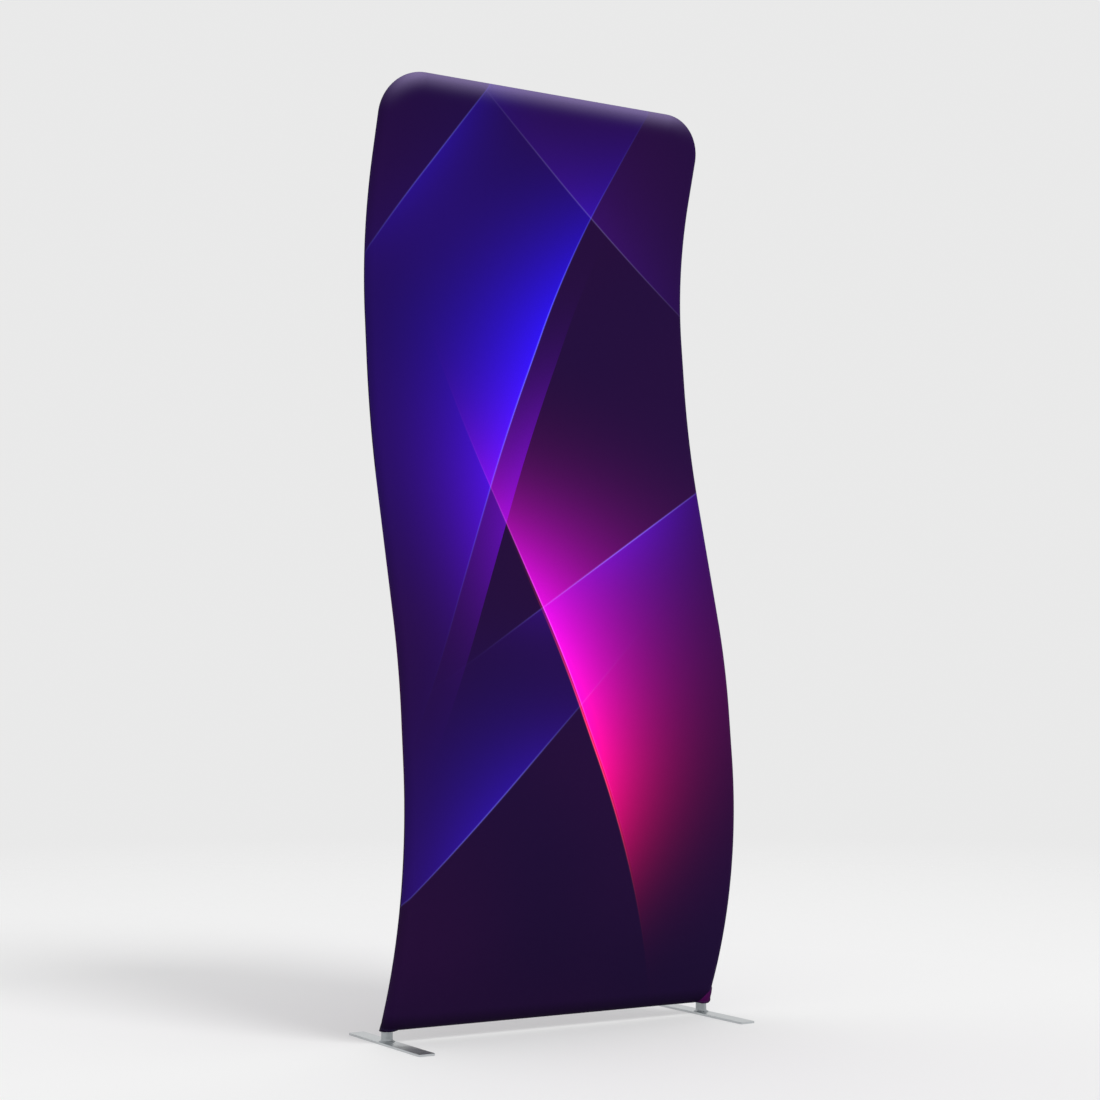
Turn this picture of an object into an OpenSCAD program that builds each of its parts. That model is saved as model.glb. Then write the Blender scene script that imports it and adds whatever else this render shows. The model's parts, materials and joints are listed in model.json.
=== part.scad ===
// Fabric banner display: a stretch-fabric sleeve over an S-shaped tube frame on two flat feet.
// Millimetres. The floor is z = 0, the front faces -Y and x = 0 is midway between the feet.
// Leans are angles from the vertical, positive towards the back.

/* [Banner] */
// Width over the stretched sleeve
banner_w = 916; // [760:2:1200]
// Height of the sleeve's top edge above the floor
banner_h = 2286; // [2180:2:2500]

/* [Side curve] */
// Lean of the side tube at the foot, towards the front
foot_lean = 23.5; // [19:0.5:27]
// Lean at the lower joint, towards the back
lower_joint_lean = 6; // [3:0.5:9]
// Lean of the middle stretch, towards the back
middle_lean = 15.5; // [12:0.5:19]
// Lean at the upper joint, towards the back
upper_joint_lean = 6; // [3:0.5:9]
// Lean of the top, towards the front
top_lean = 17; // [13:0.5:21]
// Radius of the bend above the foot
foot_bend_r = 1100; // [950:10:1250]
// Radius of the bend above the lower joint
low_mid_bend_r = 1450; // [1200:10:1700]
// Radius of the bend below the upper joint
high_mid_bend_r = 1900; // [1600:10:2200]
// Radius of the bend below the top
top_bend_r = 945; // [850:5:1050]
// Radius of the top corners
corner_r = 92; // [75:1:120]
// Straight stretch at the foot end of the side tube
foot_straight = 62; // [62:1:80]
// Straight stretch on each side of a joint in the side tube
joint_straight = 55; // [52:1:70]
// Straight stretch on each side of the joints next to a top corner
corner_straight = 50; // [49:1:65]

/* [Tube] */
// Outer diameter of the frame tube
tube_d = 30; // [28:0.5:34]
// Wall of the frame tube
tube_wall = 1.5; // [1.2:0.1:1.8]
// How much each face of a wall draws in along a bend
bend_thin = 0.05; // [0.03:0.01:0.1]
// Gap all round between a coupler and the tube it slides into
slip_gap = 0.25; // [0.15:0.05:0.4]
// Wall of the couplers
coupler_wall = 1.75; // [1.4:0.05:2.1]
// Reach of a coupler on each side of its joint
coupler_reach = 46; // [42:1:48]
// Gap between the end of the bottom bar and the side tube
bar_gap = 0.5; // [0.3:0.1:1]

/* [Feet] */
// Length of a foot plate, front to back
plate_l = 356; // [320:2:420]
// Width of a foot plate
plate_w = 40; // [40:1:60]
// Thickness of a foot plate
plate_t = 5; // [5:0.5:8]
// Corner radius of a foot plate
plate_corner_r = 3; // [1:0.5:8]
// Distance of the post behind the middle of the plate
post_y = 19; // [0:1:40]
// Height of the knee, where the post leans over into the side tube
knee_h = 30; // [28:1:45]
// Bend radius of the knee
knee_r = 20; // [18:1:22]
// Fillet at the foot of the post
post_fillet = 6; // [3:0.5:6]
// Thickness of the rim round the post's base
post_rim = 1; // [0.5:0.25:2]
// Distance from the knee to the end of the side tube
knee_gap = 3; // [3:0.5:5]
// Reach of the spigot above the knee
spigot_l = 57; // [55:1:59]
// Thread diameter of the foot screw
screw_d = 8; // [6:1:10]
// Length of the foot screw
screw_l = 18; // [16:1:18]
// Head diameter of the foot screw
screw_head_d = 16; // [14:1:17]
// Width across corners of the screw's hexagon socket
screw_socket_d = 5.8; // [4:0.2:6]
// Depth of the screw's hexagon socket
screw_socket_depth = 3; // [2:0.5:4]
// Gap round the foot screw in its holes
screw_gap = 0.2; // [0.1:0.05:0.4]

/* [Snap buttons and rivets] */
// Diameter of a snap button
button_d = 8; // [6:0.5:9]
// Height that a button stands out of the tube
button_proud = 3; // [2:0.5:4]
// Radius of a button's domed end
button_dome_r = 7; // [5:0.5:12]
// Gap round a button in its holes
button_gap = 0.1; // [0.05:0.05:0.2]
// Distance of a button from the end of the tube it locks
button_at = 30; // [29:1:34]
// Distance of the foot button above the knee
foot_button_at = 45; // [44:1:47]
// Width of the leaf spring behind a button
leaf_w = 9; // [7:0.5:10]
// Thickness of the leaf spring
leaf_t = 0.8; // [0.5:0.1:1]
// Length of the leaf spring's straight legs beyond its bend
leaf_leg = 24; // [22:1:25]
// Reach of the leaf spring past the middle of its button
leaf_past_button = 7; // [5:0.5:8]
// Gap between the leaf spring and the wall it presses on
leaf_gap = 0.1; // [0.05:0.05:0.2]
// Shank diameter of a rivet
rivet_d = 4.8; // [4:0.1:5.5]
// Head diameter of a rivet
rivet_head_d = 9; // [7:0.5:10]
// Head height of a rivet
rivet_head_h = 1.2; // [0.8:0.1:1.6]
// Gap round a rivet in its holes
rivet_gap = 0.1; // [0.05:0.05:0.2]
// Distance of a rivet from the joint
rivet_at = 24; // [18:1:30]

/* [Sleeve] */
// Thickness of the fabric
fabric_t = 0.6; // [0.4:0.1:0.9]
// Gap between the fabric and the tube that it wraps
fabric_gap = 1; // [0.9:0.05:1.3]
// Gap between the front and the back panel along their seam
seam_gap = 0.2; // [0.1:0.1:0.6]
// How far the middle of a panel is drawn in along a bend
fabric_draw = 8; // [0:1:15]

/* [Zip] */
// Height of the middle of the zip along the side tube, from the knee
zip_at = 47; // [46:0.5:48]
// Height of the slot for the zip in the back panel
zip_slot = 12; // [10:0.5:13]
// Distance from the end of the slot to the middle of the side tube
zip_inset = 40; // [34:1:60]
// Overlap of the tape on the panel
tape_over = 7; // [5:0.5:8]
// Thickness of the tape
tape_t = 0.6; // [0.4:0.1:0.8]
// Height of one row of teeth
teeth_h = 2.4; // [2:0.1:3]
// Thickness of the rows of teeth
teeth_t = 2.5; // [2:0.1:3]
// Slot between the two rows, in which the slider's neck runs
teeth_gap = 1.2; // [1:0.1:1.6]
// Length of a zip stop
stop_l = 4; // [3:0.5:6]
// Length of the slider
slider_l = 14; // [12:0.5:18]
// Height of the slider across the rows
slider_h = 8.6; // [7.8:0.1:9]
// Thickness of the slider's plates
slider_t = 1.2; // [1:0.1:1.5]
// Running gap between the slider and the rows
slider_gap = 0.35; // [0.25:0.05:0.5]
// Length of the pull tab beyond its pin
tab_l = 30; // [20:1:40]
// Width of the pull tab
tab_w = 8; // [7:0.5:12]
// Thickness of the pull tab
tab_t = 1.5; // [1.2:0.1:1.8]

/* [Hidden] */
round_fn = 48;
bend_fn = 360;
$fn = round_fn;
tube_r = tube_d / 2;
bore_r = tube_r - tube_wall;
spigot_r = bore_r - slip_gap;
spigot_bore_r = spigot_r - coupler_wall;
sleeve_in_r = tube_r + fabric_gap;
sleeve_r = sleeve_in_r + fabric_t;
side_x = banner_w / 2 - sleeve_r;

// The side curve from the knee up. [length] is a straight, [radius, lean] a bend up to that lean.
function side_curve(middle) = [
    [foot_straight], [foot_bend_r, lower_joint_lean], [2 * joint_straight],
    [low_mid_bend_r, middle_lean], [middle], [high_mid_bend_r, upper_joint_lean],
    [2 * joint_straight], [top_bend_r, -top_lean], [2 * corner_straight]];
// A station on the curve is [y, z, lean, distance from the knee].
knee = [post_y, knee_h, -foot_lean, 0];
// The station that lies a fraction f of the way along one piece of the curve that starts at p.
function along(p, piece, f = 1) = len(piece) == 1
    ? [p[0] + f * piece[0] * sin(p[2]), p[1] + f * piece[0] * cos(p[2]), p[2], p[3] + f * piece[0]]
    : let (turn = sign(piece[1] - p[2]), lean = p[2] + f * (piece[1] - p[2]))
      [p[0] + turn * piece[0] * (cos(p[2]) - cos(lean)),
       p[1] + turn * piece[0] * (sin(lean) - sin(p[2])),
       lean,
       p[3] + piece[0] * abs(lean - p[2]) * PI / 180];
// The stations where the pieces of a curve start and the last one ends.
function starts(pieces, p, i = 0) = i == len(pieces) ? [p]
    : concat([p], starts(pieces, along(p, pieces[i]), i + 1));
// The height of the top bar's middle line for a given middle straight.
function top_z(middle) = starts(side_curve(middle), knee)[9][1] + corner_r * cos(top_lean);
middle_straight = (banner_h - sleeve_r - top_z(0)) / cos(middle_lean);
curve = side_curve(middle_straight);
stations = starts(curve, knee);
lower_split = along(stations[2], curve[2], 0.5);
upper_split = along(stations[6], curve[6], 0.5);
corner_split = along(stations[8], curve[8], 0.5);
tube_end = along(knee, [knee_gap]);
corner_start = stations[9];
top_line = along(corner_start, [corner_r]);
bar_line = along(tube_end, [tube_r]);
zip_line = along(knee, [zip_at]);
top_split_x = side_x - corner_r - corner_straight;
bar_split_x = side_x - tube_r - bar_gap;

// The button's base lies on the leaf spring, whose edges press on the coupler's wall.
leaf_x = sqrt(pow(spigot_bore_r - leaf_gap, 2) - pow(leaf_w / 2, 2));
button_end = tube_r + button_proud;
button_hole_r = button_d / 2 + button_gap;
rivet_hole_r = rivet_d / 2 + rivet_gap;
// A rivet's set end swells behind the coupler's wall.
rivet_swell = 1;
rivet_bulb_l = 3;
rivet_bulb_r = rivet_d / 2 + rivet_swell;
rivet_bulb_x = sqrt(pow(spigot_bore_r, 2) - pow(rivet_bulb_r, 2)) - rivet_gap;
// How far a cutting tool runs past the face that it cuts.
cut = 1;
// How far a bend is let into the walls of the straights at its ends.
bend_seat = 1;
function seat_angle(r) = bend_seat / r * 180 / PI;

// The post is vertical up to this height and then bends by the foot's lean.
knee_tangent = knee_r * tan(foot_lean / 2);
knee_start = [post_y, knee_h - knee_tangent, 0, 0];
knee_bend = [knee_r, -foot_lean];
knee_end = along(knee_start, knee_bend);
// The share of the fillet's width that the flare at the foot of the post keeps, so its edge isn't sharp.
flare_share = 0.9;
// Where the spigot's hollow starts above the knee.
spigot_floor = 12;
screw_end_gap = 1;
screw_hole_depth = screw_l + screw_end_gap;

// The two rows of teeth lie in the slot, with the tape's outer face just under the panel.
tape_reach = zip_slot / 2 + tape_over;
tape_gap = 0.1;
tape_out = sleeve_in_r - tape_gap;
teeth_mid = tape_out - tape_t / 2;
teeth_reach = teeth_gap / 2 + teeth_h;
slot_half = side_x - zip_inset;
tape_past_slot = 6;
tape_l = 2 * (slot_half + tape_past_slot);
stop_inset = 3;
row_half = slot_half - stop_inset - stop_l;
slider_x = row_half - slider_l / 2 - slider_gap;
plate_off = teeth_t / 2 + slider_gap;
// The slider's neck runs between the rows, and its lips reach over them towards the tapes.
neck_gap = 0.2;
neck_t = teeth_gap - 2 * neck_gap;
neck_l = 3;
lip_gap = 0.35;
// The slider's bail is a low bridge for the pull tab's pin.
bail_w = 2.4;
bail_l = 7.2;
bail_post = 1;
bail_open = 2.2;
// The pull tab forks into two round-ended arms, which hold the pin.
pin_r = 0.8;
arm_r = 0.95;
arm_gap = 0.4;
arm_t = 1.2;
tab_neck = 6;
pin_y = teeth_mid + plate_off + slider_t + bail_open / 2;

// Mirrors its children to the left side, x < 0, for s = -1.
module side(s) {
    if (s < 0)
        mirror([1, 0, 0]) children();
    else
        children();
}

// Places its children at a station: local z runs up along the curve and local y towards the back.
module at(p, x = side_x) {
    translate([x, p[0], p[1]])
        rotate([-p[2], 0, 0])
            children();
}

module ring(r_out, r_in) {
    difference() {
        circle(r_out);
        circle(r_in);
    }
}

// Turns a profile about the z axis at radius r, from angle a through a turn, and on into its neighbours.
module turned(r, a, turn) {
    rotate([0, 0, a - seat_angle(r)])
        rotate_extrude(angle = turn + 2 * seat_angle(r), $fn = bend_fn)
            translate([r, 0])
                let ($fn = round_fn)
                    children();
}

// Sweeps a profile round a bend of the side curve that starts at p.
module bend(p, piece) {
    turn = sign(piece[1] - p[2]);
    translate([side_x, p[0] + turn * piece[0] * cos(p[2]), p[1] - turn * piece[0] * sin(p[2])])
        rotate([90, 0, 90])
            turned(piece[0], turn > 0 ? 180 - piece[1] : -p[2], abs(piece[1] - p[2]))
                children();
}

module bent_ring() {
    ring(tube_r - bend_thin, bore_r + bend_thin);
}

module tube_bend(i) {
    bend(stations[i], curve[i]) bent_ring();
}

module tube_piece(l) {
    linear_extrude(l) ring(tube_r, bore_r);
}

// A hole from a joint's middle line out towards local x, at a height z above the joint.
module x_hole(z, r) {
    translate([0, 0, z])
        rotate([0, 90, 0])
            cylinder(r = r, h = button_end + cut);
}

// In a joint's own frame z points to the half that the button locks and x to the button.
module in_side_joint(p) {
    at(p) rotate([0, 0, 180]) children();
}

module in_top_joint() {
    at(top_line, top_split_x) rotate([0, -90, 0]) rotate([0, 0, 180]) children();
}

module in_bar_joint() {
    at(bar_line, bar_split_x) rotate([0, -90, 0]) children();
}

// The half of a joint's tube that carries the rivet, from the joint downwards.
module riveted_end(l) {
    difference() {
        translate([0, 0, -l]) tube_piece(l);
        x_hole(-rivet_at, rivet_hole_r);
    }
}

// The half of a joint's tube that the button locks, from the joint upwards.
module locked_end(l) {
    difference() {
        tube_piece(l);
        x_hole(button_at, button_hole_r);
    }
}

// Lower side tube, with the bottom bar's hollow stub welded on.
module lower_tube() {
    foot_l = foot_straight - knee_gap;
    color("silver") {
        difference() {
            union() {
                at(tube_end) cylinder(r = tube_r, h = foot_l);
                at(bar_line)
                    rotate([0, -90, 0])
                        cylinder(r = spigot_r, h = side_x - bar_split_x + coupler_reach);
            }
            at(tube_end) translate([0, 0, -cut]) cylinder(r = bore_r, h = foot_l + 2 * cut);
            in_bar_joint() translate([0, 0, cut]) cylinder(r = spigot_bore_r, h = coupler_reach);
            in_bar_joint() x_hole(button_at, button_hole_r);
            in_side_joint(knee) x_hole(foot_button_at, button_hole_r);
        }
        tube_bend(1);
        in_side_joint(lower_split) riveted_end(joint_straight);
    }
}

module middle_tube() {
    color("silver") {
        in_side_joint(lower_split) locked_end(joint_straight);
        tube_bend(3);
        at(stations[4]) tube_piece(middle_straight);
        tube_bend(5);
        in_side_joint(upper_split) riveted_end(joint_straight);
    }
}

module upper_tube() {
    color("silver") {
        in_side_joint(upper_split) locked_end(joint_straight);
        tube_bend(7);
        in_side_joint(corner_split) riveted_end(corner_straight);
    }
}

module corner_tube() {
    color("silver") {
        in_side_joint(corner_split) locked_end(corner_straight);
        at(corner_start, side_x - corner_r)
            rotate([90, 0, 0])
                turned(corner_r, 0, 90)
                    bent_ring();
        in_top_joint() riveted_end(corner_straight);
    }
}

module top_bar() {
    color("silver")
        difference() {
            in_top_joint() tube_piece(2 * top_split_x);
            for (s = [-1, 1])
                side(s) in_top_joint() x_hole(button_at, button_hole_r);
        }
}

module bottom_bar() {
    color("silver")
        difference() {
            in_bar_joint() tube_piece(2 * bar_split_x);
            for (s = [-1, 1])
                side(s) in_bar_joint() x_hole(button_at, button_hole_r);
        }
}

// Inner sleeve that joins two tubes, in the joint's own frame.
module coupler() {
    color("lightgray")
        difference() {
            translate([0, 0, -coupler_reach])
                linear_extrude(2 * coupler_reach)
                    ring(spigot_r, spigot_bore_r);
            x_hole(button_at, button_hole_r);
            x_hole(-rivet_at, rivet_hole_r);
        }
}

// Spring-loaded button with a domed end.
module button(z) {
    l = button_end - leaf_x;
    color("gainsboro")
        translate([leaf_x, 0, z])
            rotate([0, 90, 0])
                intersection() {
                    cylinder(r = button_d / 2, h = l);
                    translate([0, 0, l - button_dome_r]) sphere(button_dome_r);
                }
}

// Hairpin leaf spring whose one leg carries the button.
module leaf_spring(z) {
    bend_z = z + leaf_past_button - leaf_leg;
    color("dimgray")
        translate([0, leaf_w / 2, bend_z])
            rotate([90, 0, 0])
                linear_extrude(leaf_w) {
                    translate([leaf_x - leaf_t, 0]) square([leaf_t, leaf_leg]);
                    translate([-leaf_x, 0]) square([leaf_t, leaf_leg]);
                    intersection() {
                        ring(leaf_x, leaf_x - leaf_t);
                        translate([-leaf_x, -leaf_x]) square([2 * leaf_x, leaf_x]);
                    }
                }
}

module snap_springs() {
    in_side_joint(knee) leaf_spring(foot_button_at);
    in_bar_joint() leaf_spring(button_at);
    for (p = [lower_split, upper_split, corner_split])
        in_side_joint(p) leaf_spring(button_at);
    in_top_joint() leaf_spring(button_at);
}

// Blind rivet: a low head outside, and the set end swollen behind the coupler's wall.
module rivet() {
    dome_r = rivet_head_d;
    color("gray")
        translate([0, 0, -rivet_at])
            rotate([0, 90, 0]) {
                translate([0, 0, rivet_bulb_x]) cylinder(d = rivet_d, h = tube_r - rivet_bulb_x);
                translate([0, 0, rivet_bulb_x - rivet_bulb_l]) cylinder(r = rivet_bulb_r, h = rivet_bulb_l);
                translate([0, 0, tube_r])
                    intersection() {
                        cylinder(d = rivet_head_d, h = rivet_head_h);
                        translate([0, 0, rivet_head_h - dome_r]) sphere(dome_r);
                    }
            }
}

module coupler_rivets() {
    for (s = [-1, 1])
        side(s) {
            for (p = [lower_split, upper_split, corner_split])
                in_side_joint(p) rivet();
            in_top_joint() rivet();
        }
}

module plate_outline() {
    inner_w = plate_w - 2 * plate_corner_r;
    inner_l = plate_l - 2 * plate_corner_r;
    square([plate_w, inner_l], center = true);
    square([inner_w, plate_l], center = true);
    for (x = [-inner_w / 2, inner_w / 2], y = [-inner_l / 2, inner_l / 2])
        translate([x, y]) circle(plate_corner_r);
}

// The countersunk seat of the foot screw, or the screw's own head for a gap of 0.
module countersink(gap) {
    cylinder(r1 = screw_head_d / 2 + gap, r2 = screw_d / 2 + gap, h = (screw_head_d - screw_d) / 2);
}

module foot_plate() {
    color("silver")
        difference() {
            translate([side_x, 0, 0]) linear_extrude(plate_t) plate_outline();
            translate([side_x, post_y, 0]) {
                countersink(screw_gap);
                translate([0, 0, -cut]) cylinder(r = screw_d / 2 + screw_gap, h = plate_t + 2 * cut);
            }
        }
}

// Round post with a filleted base, a knee and a hollow spigot for the side tube.
module foot_post() {
    base_h = post_rim + post_fillet;
    color("silver")
        difference() {
            union() {
                translate([side_x, post_y, plate_t])
                    rotate_extrude()
                        difference() {
                            square([spigot_r + flare_share * post_fillet, base_h]);
                            translate([spigot_r + post_fillet, base_h]) circle(post_fillet);
                        }
                translate([side_x, post_y, plate_t + base_h])
                    cylinder(r = spigot_r, h = knee_start[1] - plate_t - base_h);
                bend(knee_start, knee_bend) circle(spigot_r - bend_thin);
                at(knee_end) cylinder(r = spigot_r, h = spigot_l - knee_tangent);
            }
            at(knee) translate([0, 0, spigot_floor]) cylinder(r = spigot_bore_r, h = spigot_l);
            in_side_joint(knee) x_hole(foot_button_at, button_hole_r);
            translate([side_x, post_y, 0]) cylinder(r = screw_d / 2 + screw_gap, h = screw_hole_depth);
        }
}

module foot_screw() {
    color("dimgray")
        translate([side_x, post_y, screw_gap])
            difference() {
                union() {
                    countersink(0);
                    cylinder(d = screw_d, h = screw_l - screw_gap);
                }
                translate([0, 0, -cut])
                    cylinder(d = screw_socket_d, h = screw_socket_depth + cut, $fn = 6);
            }
}

// The sleeve's panels are grids: each row crosses the panel from seam to seam.
// The outer columns wrap a quarter of the side tubes, and the first rows wrap under the bottom bar.
wrap_n = 3;
flat_n = 8;
col_n = 2 * wrap_n + flat_n;
wrap_step = 90 / wrap_n;
corner_n = 8;
// Columns of the flat stretch, as fractions of its half width. The hem closes between the first two kinds:
// beside a side tube, and at the end of the zip's slot.
tube_f = 1 - sleeve_r / side_x;
slot_f = slot_half / side_x;
flat_f = [-1, -tube_f, -slot_f, -slot_f / 2, 0, slot_f / 2, slot_f, tube_f, 1];
slot_first = wrap_n + 2;
slot_last = wrap_n + flat_n - 2;
// How many rows each piece of the side curve takes above the zip.
piece_rows = [1, 8, 1, 3, 1, 4, 1, 6, 1];
slot_low = along(knee, [zip_at - zip_slot / 2]);
slot_high = along(knee, [zip_at + zip_slot / 2]);
side_stations = [for (i = [0:len(curve) - 1], k = [1:piece_rows[i]])
    along(stations[i], curve[i], k / piece_rows[i])];
// A row is [station, half width between the tubes, angle round the top corner, step round the bottom bar].
rows = concat(
    [for (k = [wrap_n:-1:0]) [bar_line, side_x, 0, k]],
    [for (p = concat([slot_low, slot_high], side_stations)) [p, side_x, 0, 0]],
    [for (k = [1:corner_n])
        let (a = 90 * k / corner_n)
        [along(corner_start, [corner_r * sin(a)]), side_x - corner_r * (1 - cos(a)), a, 0]]);
row_n = len(rows) - 1;
slot_row = wrap_n + 1;
draw_start = stations[1][3];
draw_middle = (stations[4][3] + stations[5][3]) / 2;
draw_end = stations[9][3];

// Radius of a wrap's corners: those between its ends lie outside the circle, so the facets clear the tube.
function wrap_r(r, k) = k == 0 || k == wrap_n ? r : r / cos(wrap_step / 2);
// How far below the bottom bar's middle line the hem lies after k steps round it.
function hem_drop(r, k) = wrap_r(r, k) * sin(k * wrap_step);
// How far towards the back the middle of the panels is drawn at distance d from the knee.
function draw_at(d) = d <= draw_start || d >= draw_end ? 0
    : d < draw_middle ? fabric_draw * sin(180 * (d - draw_start) / (draw_middle - draw_start))
    : -fabric_draw * sin(180 * (d - draw_middle) / (draw_end - draw_middle));
// A point off a station's middle line: x across, out from the sleeve's mid-plane and up along the curve.
function off_station(p, face, x, out, up, back = 0) =
    let (n = face * max(out, seam_gap / 2) + back)
    [x, p[0] + up * sin(p[2]) + n * cos(p[2]), p[1] + up * cos(p[2]) - n * sin(p[2])];
// Point of a row's flat stretch, at a fraction of its half width. Beside a tube the hem hangs straight.
function flat_point(row, face, r, f) =
    let (k = row[3], beside = abs(f) >= tube_f)
    off_station(row[0], face, f * row[1], beside ? r : wrap_r(r, k) * cos(k * wrap_step),
        -hem_drop(r, k), draw_at(row[0][3]) * (1 - f * f));
// Point of a row's wrap round the side tube, k steps round from the flat stretch, on side s.
function wrap_point(row, face, r, s, k) =
    let (turn = k * wrap_step, wr = wrap_r(r, k))
    off_station(row[0], face, s * (row[1] + wr * sin(turn) * cos(row[2])), wr * cos(turn),
        wr * sin(turn) * sin(row[2]) - hem_drop(r, row[3]));
function grid_point(row, face, r, i) = i < wrap_n ? wrap_point(row, face, r, -1, wrap_n - i)
    : i <= wrap_n + flat_n ? flat_point(row, face, r, flat_f[i - wrap_n])
    : wrap_point(row, face, r, 1, i - wrap_n - flat_n);
// The wrap over the top bar adds rows of inner points; its ends are the last row's wraps.
function panel_points(face, r) = concat(
    [for (row = rows, i = [0:col_n]) grid_point(row, face, r, i)],
    [for (k = [1:wrap_n], i = [1:flat_n - 1])
        let (wr = wrap_r(r, k))
        off_station(top_line, face, flat_f[i] * (side_x - corner_r), wr * cos(k * wrap_step),
            wr * sin(k * wrap_step))]);
function top_index(k, i) = let (last = row_n * (col_n + 1) + wrap_n)
    k == 0 ? last + i
    : i == 0 ? last - k
    : i == flat_n ? last + flat_n + k
    : (row_n + 1) * (col_n + 1) + (k - 1) * (flat_n - 1) + i - 1;
function grid_index(j, i) = j * (col_n + 1) + i;
function in_slot(j, i) = j == slot_row && i >= slot_first && i < slot_last;

// One panel of the sleeve, for face -1 in front and 1 behind.
module panel(face, slotted) {
    outer = panel_points(face, sleeve_r);
    inner = panel_points(face, sleeve_in_r);
    half = len(outer);
    cells = concat(
        [for (j = [0:row_n - 1], i = [0:col_n - 1]) if (!slotted || !in_slot(j, i))
            [grid_index(j, i), grid_index(j, i + 1), grid_index(j + 1, i + 1), grid_index(j + 1, i)]],
        [for (k = [0:wrap_n - 1], i = [0:flat_n - 1])
            [top_index(k, i), top_index(k, i + 1), top_index(k + 1, i + 1), top_index(k + 1, i)]]);
    // Open edges of the sheet, each running with the sheet on its right as seen from behind.
    edges = concat(
        [for (i = [0:col_n - 1]) [grid_index(0, i), grid_index(0, i + 1)]],
        [for (j = [0:row_n - 1]) [grid_index(j, col_n), grid_index(j + 1, col_n)]],
        [for (j = [0:row_n - 1]) [grid_index(j + 1, 0), grid_index(j, 0)]],
        [for (i = [0:flat_n - 1]) [top_index(wrap_n, i + 1), top_index(wrap_n, i)]],
        !slotted ? [] : concat(
            [for (i = [slot_first:slot_last - 1]) each [
                [grid_index(slot_row, i + 1), grid_index(slot_row, i)],
                [grid_index(slot_row + 1, i), grid_index(slot_row + 1, i + 1)]]],
            [[grid_index(slot_row, slot_first), grid_index(slot_row + 1, slot_first)],
             [grid_index(slot_row + 1, slot_last), grid_index(slot_row, slot_last)]]));
    faces = concat(
        [for (c = cells) each [[c[0], c[1], c[2]], [c[0], c[2], c[3]]]],
        [for (c = cells) let (d = [for (n = c) half + n]) each [[d[2], d[1], d[0]], [d[3], d[2], d[0]]]],
        [for (e = edges) each [[e[1], e[0], half + e[0]], [e[1], half + e[0], half + e[1]]]]);
    color("indigo")
        polyhedron(concat(outer, inner), [for (f = faces) face > 0 ? f : [f[2], f[1], f[0]]]);
}

// One side of the zip: a strip of tape inside the back panel and its row of teeth in the slot.
module zipper_half(s) {
    color("midnightblue")
        at(zip_line, 0)
            mirror([0, 0, s > 0 ? 0 : 1]) {
                translate([-tape_l / 2, tape_out - tape_t, teeth_gap / 2])
                    cube([tape_l, tape_t, tape_reach - teeth_gap / 2]);
                translate([-row_half, teeth_mid - teeth_t / 2, teeth_gap / 2])
                    cube([2 * row_half, teeth_t, teeth_h]);
            }
}

module zipper_stops() {
    color("gray")
        for (s = [-1, 1])
            at(zip_line, s * (row_half + slider_gap / 2 + stop_l / 2))
                translate([-stop_l / 2, tape_out, -teeth_reach])
                    cube([stop_l - slider_gap / 2, teeth_t / 2, 2 * teeth_reach]);
}

// Slider: two lipped plates over and under the rows, joined by a neck that runs between the rows.
module zipper_slider() {
    lip_z = teeth_reach + slider_gap;
    lip_h = slider_h / 2 - lip_z;
    plate_low = teeth_mid - plate_off - slider_t;
    plate_high = teeth_mid + plate_off;
    lip_l = plate_off - tape_t / 2 - lip_gap;
    bail_base = plate_high + slider_t;
    color("gray")
        at(zip_line, slider_x) {
            for (y = [plate_low, plate_high])
                translate([-slider_l / 2, y, -slider_h / 2]) cube([slider_l, slider_t, slider_h]);
            translate([-neck_l / 2, plate_low, -neck_t / 2])
                cube([neck_l, plate_high - plate_low + slider_t, neck_t]);
            for (z = [-slider_h / 2, slider_h / 2 - lip_h]) {
                translate([-slider_l / 2, plate_high - lip_l, z]) cube([slider_l, lip_l + slider_t, lip_h]);
                translate([-slider_l / 2, plate_low, z]) cube([slider_l, lip_l + slider_t, lip_h]);
            }
            difference() {
                translate([-bail_l / 2, bail_base, -bail_w / 2])
                    cube([bail_l, bail_open + bail_post, bail_w]);
                translate([bail_post - bail_l / 2, bail_base, -bail_w])
                    cube([bail_l - 2 * bail_post, bail_open, 2 * bail_w]);
            }
        }
}

// Pull tab: its pin lies under the slider's bail, and it folds flat to either side.
module zipper_pull_tab() {
    arm_z = bail_w / 2 + arm_gap;
    color("gray")
        at(zip_line, slider_x)
            translate([0, pin_y, 0]) {
                translate([0, 0, -arm_z - arm_t]) cylinder(r = pin_r, h = 2 * (arm_z + arm_t));
                for (z = [-arm_z - arm_t, arm_z])
                    translate([0, 0, z]) {
                        cylinder(r = arm_r, h = arm_t);
                        translate([-tab_neck - cut, -tab_t / 2, 0]) cube([tab_neck + cut, tab_t, arm_t]);
                    }
                translate([-tab_l, -tab_t / 2, -tab_w / 2])
                    cube([tab_l - tab_neck, tab_t, tab_w]);
            }
}

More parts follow.
